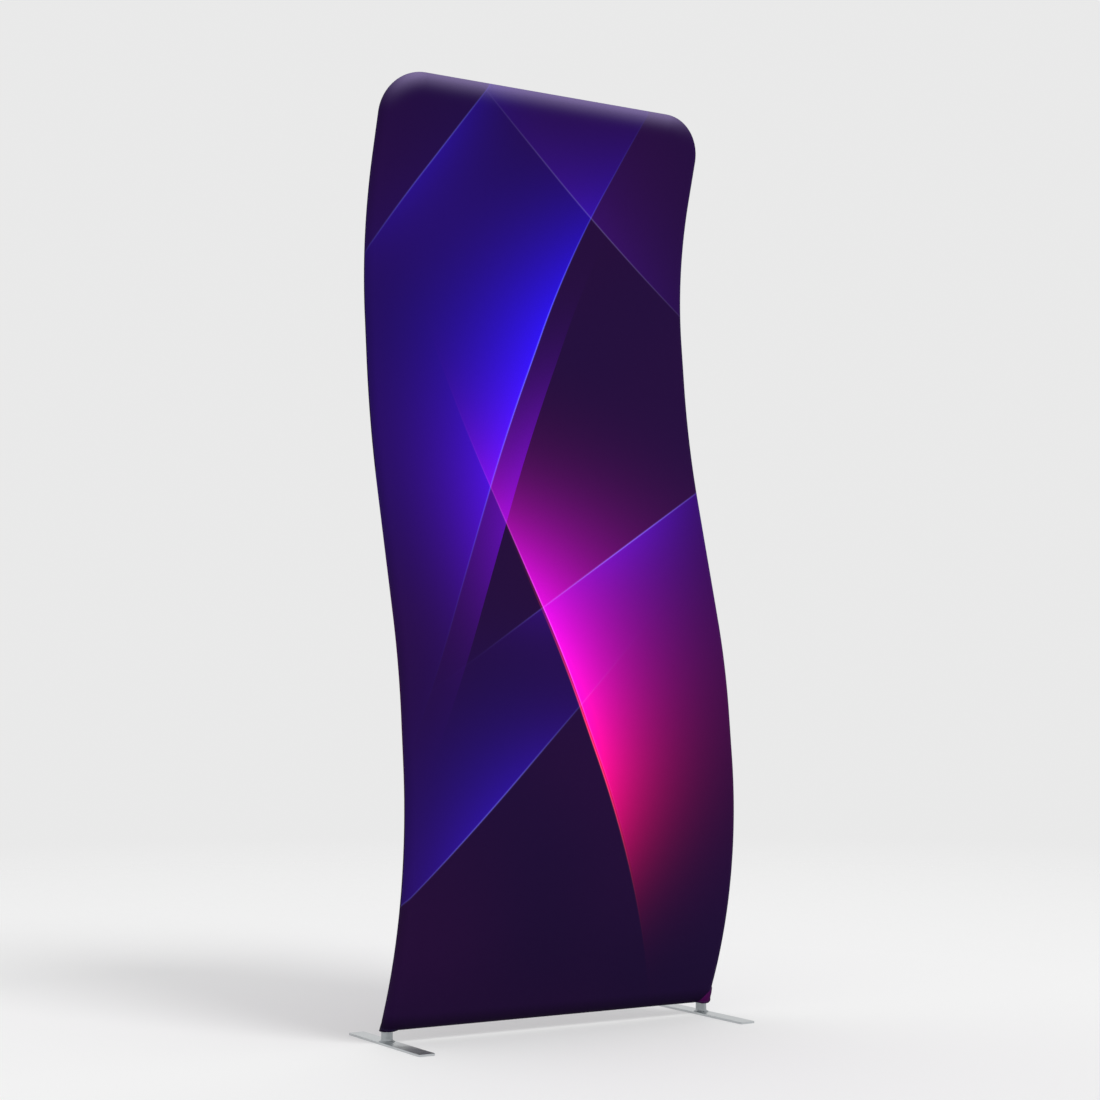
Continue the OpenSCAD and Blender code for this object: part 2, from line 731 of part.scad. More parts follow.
side(-1) lower_tube();  // lower_tube_left
side(1) lower_tube();  // lower_tube_right
side(-1) middle_tube();  // middle_tube_left
side(1) middle_tube();  // middle_tube_right
side(-1) upper_tube();  // upper_tube_left
side(1) upper_tube();  // upper_tube_right
side(-1) corner_tube();  // corner_tube_left
side(1) corner_tube();  // corner_tube_right
top_bar();
bottom_bar();
side(-1) in_side_joint(lower_split) coupler();  // lower_coupler_left
side(1) in_side_joint(lower_split) coupler();  // lower_coupler_right
side(-1) in_side_joint(upper_split) coupler();  // upper_coupler_left
side(1) in_side_joint(upper_split) coupler();  // upper_coupler_right
side(-1) in_side_joint(corner_split) coupler();  // corner_coupler_left
side(1) in_side_joint(corner_split) coupler();  // corner_coupler_right
side(-1) in_top_joint() coupler();  // top_bar_coupler_left
side(1) in_top_joint() coupler();  // top_bar_coupler_right
side(-1) in_side_joint(knee) button(foot_button_at);  // foot_button_left
side(1) in_side_joint(knee) button(foot_button_at);  // foot_button_right
side(-1) in_bar_joint() button(button_at);  // bottom_bar_button_left
side(1) in_bar_joint() button(button_at);  // bottom_bar_button_right
side(-1) in_side_joint(lower_split) button(button_at);  // lower_button_left
side(1) in_side_joint(lower_split) button(button_at);  // lower_button_right
side(-1) in_side_joint(upper_split) button(button_at);  // upper_button_left
side(1) in_side_joint(upper_split) button(button_at);  // upper_button_right
side(-1) in_side_joint(corner_split) button(button_at);  // corner_button_left
side(1) in_side_joint(corner_split) button(button_at);  // corner_button_right
side(-1) in_top_joint() button(button_at);  // top_bar_button_left
side(1) in_top_joint() button(button_at);  // top_bar_button_right
side(-1) snap_springs();  // snap_springs_left
side(1) snap_springs();  // snap_springs_right
coupler_rivets();
side(-1) foot_plate();  // foot_plate_left
side(1) foot_plate();  // foot_plate_right
side(-1) foot_post();  // foot_post_left
side(1) foot_post();  // foot_post_right
for (s = [-1, 1]) side(s) foot_screw();  // foot_screws
panel(-1, false);  // front_panel
panel(1, true);  // back_panel
zipper_half(1);  // zipper_upper_half
zipper_half(-1);  // zipper_lower_half
zipper_stops();
zipper_slider();
zipper_pull_tab();
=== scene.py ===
import json
import math

import bmesh
import bpy
import numpy as np
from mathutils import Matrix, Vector


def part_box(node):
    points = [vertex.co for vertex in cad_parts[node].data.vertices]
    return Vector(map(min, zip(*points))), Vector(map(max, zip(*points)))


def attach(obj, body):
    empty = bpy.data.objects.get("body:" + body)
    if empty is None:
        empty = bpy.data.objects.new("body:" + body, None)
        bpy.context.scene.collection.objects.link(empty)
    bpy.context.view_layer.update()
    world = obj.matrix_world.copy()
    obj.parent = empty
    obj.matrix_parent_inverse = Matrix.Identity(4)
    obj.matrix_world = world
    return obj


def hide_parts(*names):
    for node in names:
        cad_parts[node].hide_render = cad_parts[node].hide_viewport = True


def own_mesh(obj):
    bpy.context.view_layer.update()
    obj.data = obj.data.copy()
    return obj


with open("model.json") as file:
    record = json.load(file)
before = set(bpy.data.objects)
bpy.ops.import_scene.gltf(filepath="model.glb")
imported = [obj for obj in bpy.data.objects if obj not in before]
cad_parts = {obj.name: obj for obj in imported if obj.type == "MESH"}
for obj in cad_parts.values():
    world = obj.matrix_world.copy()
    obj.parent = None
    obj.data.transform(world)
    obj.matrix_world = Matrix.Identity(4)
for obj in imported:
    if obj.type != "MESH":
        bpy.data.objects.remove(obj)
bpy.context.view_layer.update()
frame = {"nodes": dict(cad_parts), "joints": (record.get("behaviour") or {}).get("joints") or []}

QUARTER = math.pi / 2

# Sizes that the scene's own pieces share with the solids.
# The banner and its side curve, from the foot to the top corner.
BANNER_W = 0.916
BANNER_H = 2.286
FOOT_LEAN = math.radians(-23.5)
JOINT_LEAN = math.radians(6)
MIDDLE_LEAN = math.radians(15.5)
TOP_LEAN = math.radians(-17)
FOOT_BEND_R = 1.1
LOW_MID_BEND_R = 1.45
HIGH_MID_BEND_R = 1.9
TOP_BEND_R = 0.945
CORNER_R = 0.092
FOOT_STRAIGHT = 0.062
JOINT_STRAIGHT = 0.055
CORNER_STRAIGHT = 0.05
# The tube, the post below it, and the sleeve round it.
TUBE_R = 0.015
POST_Y = 0.019
KNEE_H = 0.03
KNEE_GAP = 0.003
FABRIC_T = 0.0006
SLEEVE_R = 0.0166
SIDE_X = BANNER_W / 2 - SLEEVE_R
FABRIC_DRAW = 0.008
# The zip in its slot, low on the back. Its depths are measured from the middle line of the tubes.
ZIP_AT = 0.047
ZIP_SLOT = 0.012
SLOT_HALF = SIDE_X - 0.04
TAPE_OUT = 0.0159
TAPE_T = 0.0006
TAPE_OVER = 0.007
TAPE_HALF = SLOT_HALF + 0.006
TEETH_MID = 0.0156
TEETH_GAP = 0.0012
TEETH_T = 0.0025
ROW_HALF = 0.3944
STOP_L = 0.004
SLIDER_X = 0.38705
PIN_Y = 0.0195

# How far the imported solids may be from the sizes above, and points that count as one from each other.
SIZE_SLACK = 0.001
SAME_POINT = 0.000001


def along(p, piece, f=1.0):
    """The station a fraction f of the way along one piece of a curve that starts at p.

    A station is (y, z, lean, distance from the knee), and a piece (length) or (radius, lean to reach)."""
    y, z, lean, dist = p
    if len(piece) == 1:
        length = f * piece[0]
        return y + length * math.sin(lean), z + length * math.cos(lean), lean, dist + length
    radius, end = piece
    turn = math.copysign(1, end - lean)
    here = lean + f * (end - lean)
    return (y + turn * radius * (math.cos(lean) - math.cos(here)),
            z + turn * radius * (math.sin(here) - math.sin(lean)),
            here, dist + radius * abs(here - lean))


def side_curve(middle_straight):
    """The pieces of the side curve from the knee up to the top corner."""
    return [(FOOT_STRAIGHT,), (FOOT_BEND_R, JOINT_LEAN), (2 * JOINT_STRAIGHT,),
            (LOW_MID_BEND_R, MIDDLE_LEAN), (middle_straight,), (HIGH_MID_BEND_R, JOINT_LEAN),
            (2 * JOINT_STRAIGHT,), (TOP_BEND_R, TOP_LEAN), (2 * CORNER_STRAIGHT,)]


def starts(pieces):
    """The stations where the pieces of the curve start, and where the last one ends."""
    found = [(POST_Y, KNEE_H, FOOT_LEAN, 0.0)]
    for piece in pieces:
        found.append(along(found[-1], piece))
    return found


def top_z(middle_straight):
    """The height of the top bar's middle line, for a length of the curve's middle stretch."""
    return starts(side_curve(middle_straight))[-1][1] + CORNER_R * math.cos(TOP_LEAN)


MIDDLE_STRAIGHT = (BANNER_H - SLEEVE_R - top_z(0)) / math.cos(MIDDLE_LEAN)
CURVE = side_curve(MIDDLE_STRAIGHT)
STATIONS = starts(CURVE)
BAR_AT = KNEE_GAP + TUBE_R
CORNER_AT = STATIONS[-1][3]


def station_at(dist):
    """The station at a distance up the side curve from the knee."""
    for start, end, piece in zip(STATIONS, STATIONS[1:], CURVE):
        if dist <= end[3]:
            return along(start, piece, (dist - start[3]) / (end[3] - start[3]))
    return along(STATIONS[-1], (dist - CORNER_AT,))


def off_station(p, x, out, up=0.0):
    """A point off a station's middle line: out to the back and up along the curve."""
    y, z, lean = p[:3]
    return Vector((x, y + up * math.sin(lean) + out * math.cos(lean),
                   z + up * math.cos(lean) - out * math.sin(lean)))


def check_high_side(node, axis, value):
    """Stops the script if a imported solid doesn't end where this script expects it to."""
    if abs(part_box(node)[1][axis] - value) > SIZE_SLACK:
        raise SystemExit(f"{node} is no longer where scene.py expects it")


for panel_node in ("front_panel", "back_panel"):
    check_high_side(panel_node, 0, BANNER_W / 2)
    check_high_side(panel_node, 2, BANNER_H)

# Helpers for meshes.


def make_object(name, points, faces, finishes, smooth=True):
    """Makes one object with a mesh and its materials."""
    mesh = bpy.data.meshes.new(name)
    mesh.from_pydata([tuple(p) for p in points], [], faces)
    mesh.polygons.foreach_set("use_smooth", [smooth] * len(mesh.polygons))
    mesh.update()
    made = bpy.data.objects.new(name, mesh)
    bpy.context.scene.collection.objects.link(made)
    for finish in finishes:
        mesh.materials.append(finish)
    return made


def smoothstep(value, low, high):
    t = min(1.0, max(0.0, (value - low) / (high - low)))
    return t * t * (3 - 2 * t)


def mix(a, b, share):
    return a + (b - a) * share


def middle(points):
    return sum(points, Vector()) / len(points)


def around(count):
    """Angles at even steps round a circle."""
    return [2 * math.pi * i / count for i in range(count)]


class Loft:
    """Points and faces of one mesh, gathered piece by piece."""

    def __init__(self):
        self.points = []
        self.faces = []

    def rings(self, rings, closed=False):
        """Joins equal rings of points one to the next, with flat caps unless the run is closed."""
        first = len(self.points)
        size = len(rings[0])
        for ring in rings:
            self.points.extend(ring)
        count = len(rings)
        for j in range(count if closed else count - 1):
            a, b = first + j * size, first + (j + 1) % count * size
            for i in range(size):
                k = (i + 1) % size
                self.faces.append((a + i, a + k, b + k, b + i))
        if not closed:
            self.faces.append(tuple(reversed(range(first, first + size))))
            self.faces.append(tuple(range(first + (count - 1) * size, first + count * size)))

    def make(self, name, finish, smooth=True):
        return make_object(name, self.points, self.faces, [finish], smooth)


def path_frames(path, closed):
    """Two side directions at each point of a path, which turn as little as they can."""
    count = len(path)
    side = Vector((0, 0, 1))
    frames = []
    for i in range(count):
        if closed:
            tangent = path[(i + 1) % count] - path[i - 1]
        else:
            tangent = path[min(i + 1, count - 1)] - path[max(i - 1, 0)]
        tangent.normalize()
        side = side - tangent * side.dot(tangent)
        if side.length < 1e-6:
            side = tangent.orthogonal()
        side = side.normalized()
        frames.append((side, tangent.cross(side)))
    return frames


def sweep(loft, path, radii, sides=8, closed=False):
    """A round tube along a path, with one radius for each point."""
    rings = []
    for p, r, (a, b) in zip(path, radii, path_frames(path, closed)):
        rings.append([p + a * (r * math.cos(t)) + b * (r * math.sin(t)) for t in around(sides)])
    loft.rings(rings, closed)


def resample(path, step):
    """Points at even steps along a path."""
    lengths = [0.0]
    for a, b in zip(path, path[1:]):
        lengths.append(lengths[-1] + (b - a).length)
    count = max(2, int(lengths[-1] / step) + 1)
    found, j = [], 0
    for i in range(count):
        goal = lengths[-1] * i / (count - 1)
        while j < len(path) - 2 and lengths[j + 1] < goal:
            j += 1
        share = (goal - lengths[j]) / max(1e-9, lengths[j + 1] - lengths[j])
        found.append(path[j].lerp(path[j + 1], share))
    return found


# Sewing thread. Each stitch shows over a share of its pitch, and lies a little off the cloth.
THREAD_R = 0.0002
THREAD_END_R = 0.35 * THREAD_R
STITCH_SHARE = 0.72
STITCH_PITCH = 0.0032
THREAD_LIFT = 0.0001


def add_stitches(loft, path, pitch=STITCH_PITCH):
    """A row of thread stitches, each a short bead that thins at its ends."""
    line = resample(path, pitch)
    for a, b in zip(line, line[1:]):
        bead = [a.lerp(b, (1 - STITCH_SHARE) / 2 + STITCH_SHARE * t) for t in (0.0, 0.2, 0.8, 1.0)]
        sweep(loft, bead, [THREAD_END_R, THREAD_R, THREAD_R, THREAD_END_R], sides=6)


# Finishes: each is a node tree in real units.


def srgb(r, g, b):
    """A colour given in 0 to 255 as the linear colour that a shader takes."""
    linear = [c / 255 / 12.92 if c <= 10 else ((c / 255 + 0.055) / 1.055) ** 2.4 for c in (r, g, b)]
    return (*linear, 1)


def darker(colour, share):
    return tuple(share * c for c in colour[:3]) + (1,)


# Most of a noise texture's values lie in this range.
NOISE = (0.3, 0.7)


class Nodes:
    """The nodes of a material or a world, with short calls for those that are used most."""

    def __init__(self, owner, output):
        owner.use_nodes = True
        self.tree = owner.node_tree
        self.tree.nodes.clear()
        self.surface = self.add(output).inputs["Surface"]

    def add(self, kind, **settings):
        node = self.tree.nodes.new("ShaderNode" + kind)
        for key, value in settings.items():
            setattr(node, key, value)
        return node

    def link(self, a, b):
        self.tree.links.new(a, b)

    def put(self, socket, value):
        """Links a socket to another node's output, or gives it a value of its own."""
        if isinstance(value, bpy.types.NodeSocket):
            self.link(value, socket)
        else:
            socket.default_value = value

    def place(self):
        return self.add("TexCoord").outputs["Object"]

    def split(self, vector):
        """The x, y and z of a vector."""
        node = self.add("SeparateXYZ")
        self.link(vector, node.inputs[0])
        return node.outputs

    def scaled(self, vector, scale):
        node = self.add("Mapping")
        self.put(node.inputs["Vector"], vector)
        node.inputs["Scale"].default_value = scale
        return node.outputs[0]

    def noise(self, vector, scale, detail=3.0):
        node = self.add("TexNoise")
        self.put(node.inputs["Vector"], vector)
        node.inputs["Scale"].default_value = scale
        node.inputs["Detail"].default_value = detail
        node.inputs["Roughness"].default_value = 0.55
        return node.outputs[0]

    def math(self, operation, *values):
        node = self.add("Math", operation=operation)
        for socket, value in zip(node.inputs, values):
            self.put(socket, value)
        return node.outputs[0]

    def add_up(self, a, b):
        return self.math("ADD", a, b)

    def times(self, a, b):
        return self.math("MULTIPLY", a, b)

    def turned(self, x, y, angle):
        """How far a point lies along the direction at an angle from y towards x."""
        return self.add_up(self.times(x, math.sin(angle)), self.times(y, math.cos(angle)))

    def distance(self, x, y):
        return self.math("SQRT", self.add_up(self.times(x, x), self.times(y, y)))

    def bell(self, value):
        """1 where the value is 0, falling away on both sides."""
        return self.math("EXPONENT", self.times(self.times(value, value), -1.0))

    def spread(self, value, given, wanted):
        """A value carried over from one range to another, and kept inside it."""
        node = self.add("MapRange")
        for socket, v in zip(node.inputs, (value, *given, *wanted)):
            self.put(socket, v)
        return node.outputs[0]

    def blend(self, kind, factor, a, b):
        node = self.add("Mix", data_type="RGBA", blend_type=kind)
        self.put(node.inputs[0], factor)
        self.put(node.inputs[6], a)
        self.put(node.inputs[7], b)
        return node.outputs[2]

    def light(self, kind, colour, strength=1.0):
        """A Background or an Emission."""
        node = self.add(kind)
        self.put(node.inputs["Color"], colour)
        self.put(node.inputs["Strength"], strength)
        return node.outputs[0]

    def mix_shaders(self, share, first, second):
        node = self.add("MixShader")
        for socket, value in zip(node.inputs, (share, first, second)):
            self.put(socket, value)
        return node.outputs[0]


class Finish(Nodes):
    """A material and its main shader."""

    def __init__(self, name):
        self.material = bpy.data.materials.new(name)
        super().__init__(self.material, "OutputMaterial")
        self.shader = self.add("BsdfPrincipled")
        self.link(self.shader.outputs[0], self.surface)

    def set(self, **values):
        """Sets the shader's own sockets: base_color sets Base Color."""
        for key, value in values.items():
            words = " ".join(w if w == "IOR" else w.capitalize() for w in key.split("_"))
            self.put(self.shader.inputs[words], value)

    def bump(self, height, depth, strength=1.0):
        node = self.add("Bump")
        node.inputs["Strength"].default_value = strength
        node.inputs["Distance"].default_value = depth
        self.put(node.inputs["Height"], height)
        self.link(node.outputs[0], self.shader.inputs["Normal"])


# In metal, a soft cloud of smudges lies over the lines that drawing, turning or brushing left.
CLOUD_FINENESS = 22.0
CLOUD_SHARE = 0.5
LINE_DARK = 0.8
SMUDGE = 0.06


def metal(name, colour, roughness, grain, depth=0.00001):
    """Drawn or brushed metal. grain is how fine its lines are along x, y and z, per metre."""
    f = Finish(name)
    lines = f.noise(f.scaled(f.place(), grain), 1.0, detail=4)
    cloud = f.noise(f.place(), CLOUD_FINENESS, detail=2)
    both = f.add_up(lines, f.times(cloud, CLOUD_SHARE))
    tone = f.spread(both, [(1 + CLOUD_SHARE) * end for end in NOISE], (0, 1))
    f.set(base_color=f.blend("MIX", tone, darker(colour, LINE_DARK), colour), metallic=1.0,
          roughness=f.spread(cloud, NOISE, (roughness - SMUDGE / 2, roughness + SMUDGE)))
    f.bump(lines, depth)
    return f.material


# The print: straight facets of light, each with a thin bright edge, over deep indigo.


class Edge:
    """One straight edge of the print, with light that falls away on one side of it.

    at is its brightest point, across from the banner's middle and up the side curve. lean is in degrees.
    The light spreads over reach, to the left where that is negative, and over length along the edge."""

    def __init__(self, at, lean, reach, length, colour, glow, line=0.0):
        self.across, self.up = at
        self.lean = math.radians(lean)
        self.reach, self.length = reach, length
        self.colour, self.glow, self.line = srgb(*colour), glow, line


PRINT_EDGES = [
    Edge((-0.02, 1.62), lean=24, reach=-0.26, length=0.42, colour=(20, 10, 250), glow=1.0, line=0.9),
    Edge((-0.10, 1.28), lean=24, reach=-0.20, length=0.30, colour=(120, 0, 225), glow=0.55),
    Edge((0.05, 0.66), lean=-19, reach=0.17, length=0.24, colour=(255, 0, 96), glow=1.0, line=0.5),
    Edge((-0.04, 0.94), lean=-19, reach=0.24, length=0.30, colour=(235, 0, 235), glow=0.95, line=0.6),
    Edge((0.20, 1.16), lean=58, reach=0.16, length=0.28, colour=(74, 10, 210), glow=0.6, line=0.85),
    Edge((-0.24, 0.52), lean=47, reach=-0.20, length=0.30, colour=(40, 14, 190), glow=0.55, line=0.6),
    Edge((0.16, 2.02), lean=-52, reach=0.22, length=0.34, colour=(64, 10, 130), glow=0.4, line=0.45),
    Edge((-0.30, 2.12), lean=33, reach=0.14, length=0.26, colour=(32, 12, 200), glow=0.4, line=0.45),
]
# The facet at the right hem corner ends on the corner's crease, and is on the front panel only.
CORNER_FACET = Edge((0.4278, 0.018), lean=42, reach=0.12, length=0.034, colour=(150, 20, 140), glow=0.38)
LINE_W = 0.0016
LINE_PALE = 0.12
LIGHT_FALL = 1.6


def add_edge(f, colour, u, v, edge):
    """Adds one edge's light to a colour."""
    du = f.math("SUBTRACT", u, edge.across)
    dv = f.math("SUBTRACT", v, edge.up)
    beside = f.turned(du, dv, edge.lean + QUARTER)
    onward = f.turned(du, dv, edge.lean)
    fade = f.bell(f.math("DIVIDE", onward, edge.length))
    depth = f.math("DIVIDE", beside, edge.reach)
    lit = f.math("GREATER_THAN", depth, 0.0)
    glow = f.math("EXPONENT", f.times(f.math("MAXIMUM", depth, 0.0), -LIGHT_FALL))
    light = f.times(f.times(glow, lit), f.times(fade, edge.glow))
    colour = f.blend("ADD", light, colour, edge.colour)
    if edge.line:
        stroke = f.bell(f.math("DIVIDE", beside, LINE_W))
        pale = tuple(mix(c, 1.0, LINE_PALE) for c in edge.colour[:3]) + (1,)
        colour = f.blend("ADD", f.times(stroke, f.times(fade, edge.line)), colour, pale)
    return colour


# The knit's wales, side by side, and its courses, one above the other.
WALE = 0.0009
COURSE = 0.0007


def ribs(f, coordinate, pitch):
    """Rounded ribs of one pitch along a coordinate, from 0 to 1."""
    wave = f.math("SINE", f.times(coordinate, 2 * math.pi / pitch))
    return f.spread(wave, (-1, 1), (0, 1))


# Over the top bar a pale band is painted into the print as a painted highlight, as if lit from above, and
# more to the left.
# Along the hem the print is darkened as painted shade, where the fabric turns under the bottom bar.
TOP_HIGHLIGHT_SHOW = 0.33
TOP_HIGHLIGHT_FROM = 0.01
TOP_HIGHLIGHT_REACH = 0.024
TOP_HIGHLIGHT_LEAN = math.radians(-14)
TOP_HIGHLIGHT_NARROWS = 4.0
HEM_SHADE_TONE = 0.5
HEM_SHADE_SPAN = (0.016, 0.048)


def painted_highlight_share(f, across, v):
    """How much painted highlight is laid over the print: most near the seam over the top, and less round the
    corners.
    """
    straight = f.math("MINIMUM", f.math("MAXIMUM", across, CORNER_R - SIDE_X), SIDE_X - CORNER_R)
    past_x = f.math("SUBTRACT", across, straight)
    past_y = f.math("MAXIMUM", f.math("SUBTRACT", v, CORNER_AT), 0.0)
    away = f.distance(past_x, past_y)
    from_seam = f.math("SUBTRACT", CORNER_R + SLEEVE_R * QUARTER, away)
    beyond = f.math("MAXIMUM", f.math("SUBTRACT", from_seam, TOP_HIGHLIGHT_FROM), 0.0)
    near = f.bell(f.math("DIVIDE", beyond, TOP_HIGHLIGHT_REACH))
    upright = f.math("DIVIDE", f.turned(past_x, past_y, TOP_HIGHLIGHT_LEAN), away)
    share = f.math("POWER", f.math("MAXIMUM", upright, 0.0), TOP_HIGHLIGHT_NARROWS)
    return f.times(f.times(near, share), TOP_HIGHLIGHT_SHOW)


# The print's ground goes from one indigo to the other up the banner, with clouds of plum.
GROUND_LOW = srgb(29, 10, 53)
GROUND_HIGH = srgb(36, 12, 66)
GROUND_SPAN = (0.2, 2.3)
PLUM = srgb(44, 11, 60)
PLUM_FINENESS = 1.3
PLUM_CLOUDS = (0.35, 0.7)
PLUM_SHARE = 0.7
# The pale colour of the painted highlight over the top bar.
PAINTED_HIGHLIGHT_COLOUR = srgb(203, 184, 243)
KNIT_TONE = (0.84, 1.08)
KNIT_ROUGHNESS = (0.82, 0.66)
KNIT_DEPTH = 0.00006
YARN_FINENESS = 900.0
YARN_TONE = (0.93, 1.05)
FUZZ_FINENESS = 700.0
FUZZ_HEIGHT = 0.4


def printed_fabric(mirrored):
    """Stretch knit with the print, which the back panel has the other way round."""
    f = Finish("printed_fabric_back" if mirrored else "printed_fabric_front")
    layout = f.add("UVMap", uv_map="layout").outputs[0]
    across, v, _ = f.split(layout)
    u = f.times(across, -1.0) if mirrored else across
    ground = f.blend("MIX", f.spread(v, GROUND_SPAN, (0, 1)), GROUND_LOW, GROUND_HIGH)
    clouds = f.spread(f.noise(layout, PLUM_FINENESS, detail=1), PLUM_CLOUDS, (0, PLUM_SHARE))
    colour = f.blend("MIX", clouds, ground, PLUM)
    for edge in PRINT_EDGES if mirrored else PRINT_EDGES + [CORNER_FACET]:
        colour = add_edge(f, colour, u, v, edge)
    # Painted highlight: a pale band over the top bar.
    colour = f.blend("MIX", painted_highlight_share(f, across, v), colour, PAINTED_HIGHLIGHT_COLOUR)
    knit = f.times(ribs(f, across, WALE), ribs(f, v, COURSE))
    yarn = f.spread(f.noise(layout, YARN_FINENESS, detail=2), NOISE, YARN_TONE)
    thread = f.times(f.spread(knit, (0, 1), KNIT_TONE), yarn)
    # Painted shade: the colour is darker towards the hem's edge.
    thread = f.times(thread, f.spread(v, HEM_SHADE_SPAN, (HEM_SHADE_TONE, 1)))
    shade = f.add("CombineColor")
    for socket in shade.inputs:
        f.put(socket, thread)
    f.set(base_color=f.blend("MULTIPLY", 1.0, colour, shade.outputs[0]),
          roughness=f.spread(knit, (0, 1), KNIT_ROUGHNESS), specular_IOR_level=0.05,
          sheen_weight=0.03, sheen_roughness=0.35, sheen_tint=srgb(200, 190, 235))
    fuzz = f.times(f.noise(layout, FUZZ_FINENESS), FUZZ_HEIGHT)
    f.bump(f.add_up(knit, fuzz), KNIT_DEPTH, strength=0.6)
    return f.material


# The tone of plain cloth goes by its weave and by a finer fuzz.
WEAVE_SHARE = 0.6
FINE_FUZZ = 1500.0
FUZZ_SHARE = 0.5
CLOTH_DARK = 0.72
CLOTH_ROUGHNESS = (0.75, 0.9)


def plain_cloth(name, colour, pitch, depth):
    """Cloth, tape or thread of one colour, with ribs of one pitch across and another upwards."""
    f = Finish(name)
    x, _, z = f.split(f.place())
    weave = f.times(ribs(f, x, pitch[0]), ribs(f, z, pitch[1]))
    fuzz = f.noise(f.place(), FINE_FUZZ, detail=2)
    tone = f.add_up(f.times(weave, WEAVE_SHARE), f.times(fuzz, FUZZ_SHARE))
    f.set(base_color=f.blend("MIX", tone, darker(colour, CLOTH_DARK), colour),
          roughness=f.spread(fuzz, NOISE, CLOTH_ROUGHNESS), sheen_weight=0.2)
    f.bump(weave, depth)
    return f.material


ANODISED = srgb(214, 216, 219)
FINISHES = {
    "frame_tube": metal("anodised_tube", ANODISED, 0.34, grain=(700, 700, 12)),
    "frame_bar": metal("anodised_bar", ANODISED, 0.34, grain=(12, 700, 700)),
    "coupler": metal("drawn_coupler", srgb(196, 198, 202), 0.38, grain=(900, 120, 20)),
    "button": metal("turned_button", srgb(205, 207, 209), 0.24, grain=(300, 900, 900)),
    "spring": metal("tempered_spring", srgb(120, 122, 128), 0.36, grain=(60, 800, 800)),
    "foot_plate": metal("brushed_plate", srgb(206, 210, 212), 0.3, grain=(1400, 14, 600), depth=0.000012),
    "foot_post": metal("satin_post", srgb(180, 185, 188), 0.5, grain=(90, 90, 1300), depth=0.000008),
    "rivet": metal("rivet_alloy", srgb(186, 188, 190), 0.4, grain=(500, 500, 500)),
    "screw": metal("dark_zinc", srgb(92, 92, 96), 0.42, grain=(400, 400, 400)),
    "zip_metal": metal("dark_nickel", srgb(98, 97, 104), 0.3, grain=(900, 120, 900)),
}
PRINT_FRONT = printed_fabric(False)
PRINT_BACK = printed_fabric(True)
INSIDE = plain_cloth("undyed_inside", srgb(214, 212, 220), pitch=(WALE, COURSE), depth=0.00005)
TAPE = plain_cloth("zip_tape_weave", srgb(30, 20, 54), pitch=(0.0012, 0.0008), depth=0.00008)
COIL = plain_cloth("zip_coil", srgb(44, 34, 72), pitch=(0.0005, 0.0005), depth=0.00001)
THREAD = plain_cloth("sewing_thread", srgb(52, 36, 96), pitch=(0.0004, 0.0004), depth=0.00003)

# The sleeve: two panels sewn together along the side tubes and over the top. Each is a grid of rows up the
# side curve and columns from seam to seam, and is turned in under the bottom bar.

SEAM_DIP = 0.0006
SEAM_GAP = 0.00005
ROW_STEP = 0.012
CORNER_STEPS = 20
# The columns of a wrap round a side tube and the rows of the hem, as shares of a quarter turn.
WRAP = [0.0, 0.14, 0.28, 0.42, 0.56, 0.7, 0.84, 0.95, 1.0]
HEM = [0.0, 0.12, 0.26, 0.4, 0.55, 0.7, 0.84, 0.95, 1.0]
# The columns between the side tubes: wide ones, one beside the zip's end, and narrow ones from there on.
WIDE_TO = 0.384
WIDE_COLUMNS = 15
SLOT_SIDE = 0.393
NARROW_COLUMNS = 12
# The hem is open round each post, and flares a little there.
OPENING_FROM = 0.395
OPENING_TO = 0.4414
HEM_FLARE = 0.0011
FLARE_FULL_AT = 1 / 1.2
HEM_RISE = 0.01


def flat_columns():
    """The places of the columns between the side tubes, as shares of the way from the middle to a tube."""
    half = list(np.linspace(0, WIDE_TO, WIDE_COLUMNS)) + [SLOT_SIDE]
    half += list(np.linspace(SLOT_HALF, SIDE_X, NARROW_COLUMNS))
    return [-x / SIDE_X for x in reversed(half[1:])] + [x / SIDE_X for x in half]


FLAT = flat_columns()
WRAP_N = len(WRAP) - 1
FLAT_N = len(FLAT) - 1
COL_N = FLAT_N + 2 * WRAP_N
# The middle of the panels is drawn towards the hollow side of the lower bends, and of the upper ones.
DRAW_START, DRAW_END = STATIONS[1][3], STATIONS[9][3]
DRAW_MIDDLE = (STATIONS[4][3] + STATIONS[5][3]) / 2


def draw_at(dist):
    """How far back the middle of the panels is drawn at a distance up the curve."""
    for low, high, draw in ((DRAW_START, DRAW_MIDDLE, FABRIC_DRAW), (DRAW_MIDDLE, DRAW_END, -FABRIC_DRAW)):
        if low < dist < high:
            return draw * math.sin(math.pi * (dist - low) / (high - low))
    return 0.0


def seam_dip(t):
    """How far the fabric sinks into the seam at the end of a wrap."""
    return SEAM_DIP if t == 1.0 else 0.0


# Spare cloth makes the right front corner of the hem stand out below a slanting crease.
FOLD_H = 0.049
FOLD_W = 0.04
FOLD_OUT = 0.0036
FOLD_ROUND = 0.22
FOLD_FADE = 0.25


def corner_fold(x, above, face):
    """How far the corner stands out, at a place across and a distance above the hem's edge."""
    if x < 0 or face > 0:
        return 0.0
    below_crease = 1 - above / FOLD_H - (SIDE_X + SLEEVE_R - x) / FOLD_W
    return FOLD_OUT * smoothstep(below_crease, 0, FOLD_ROUND)


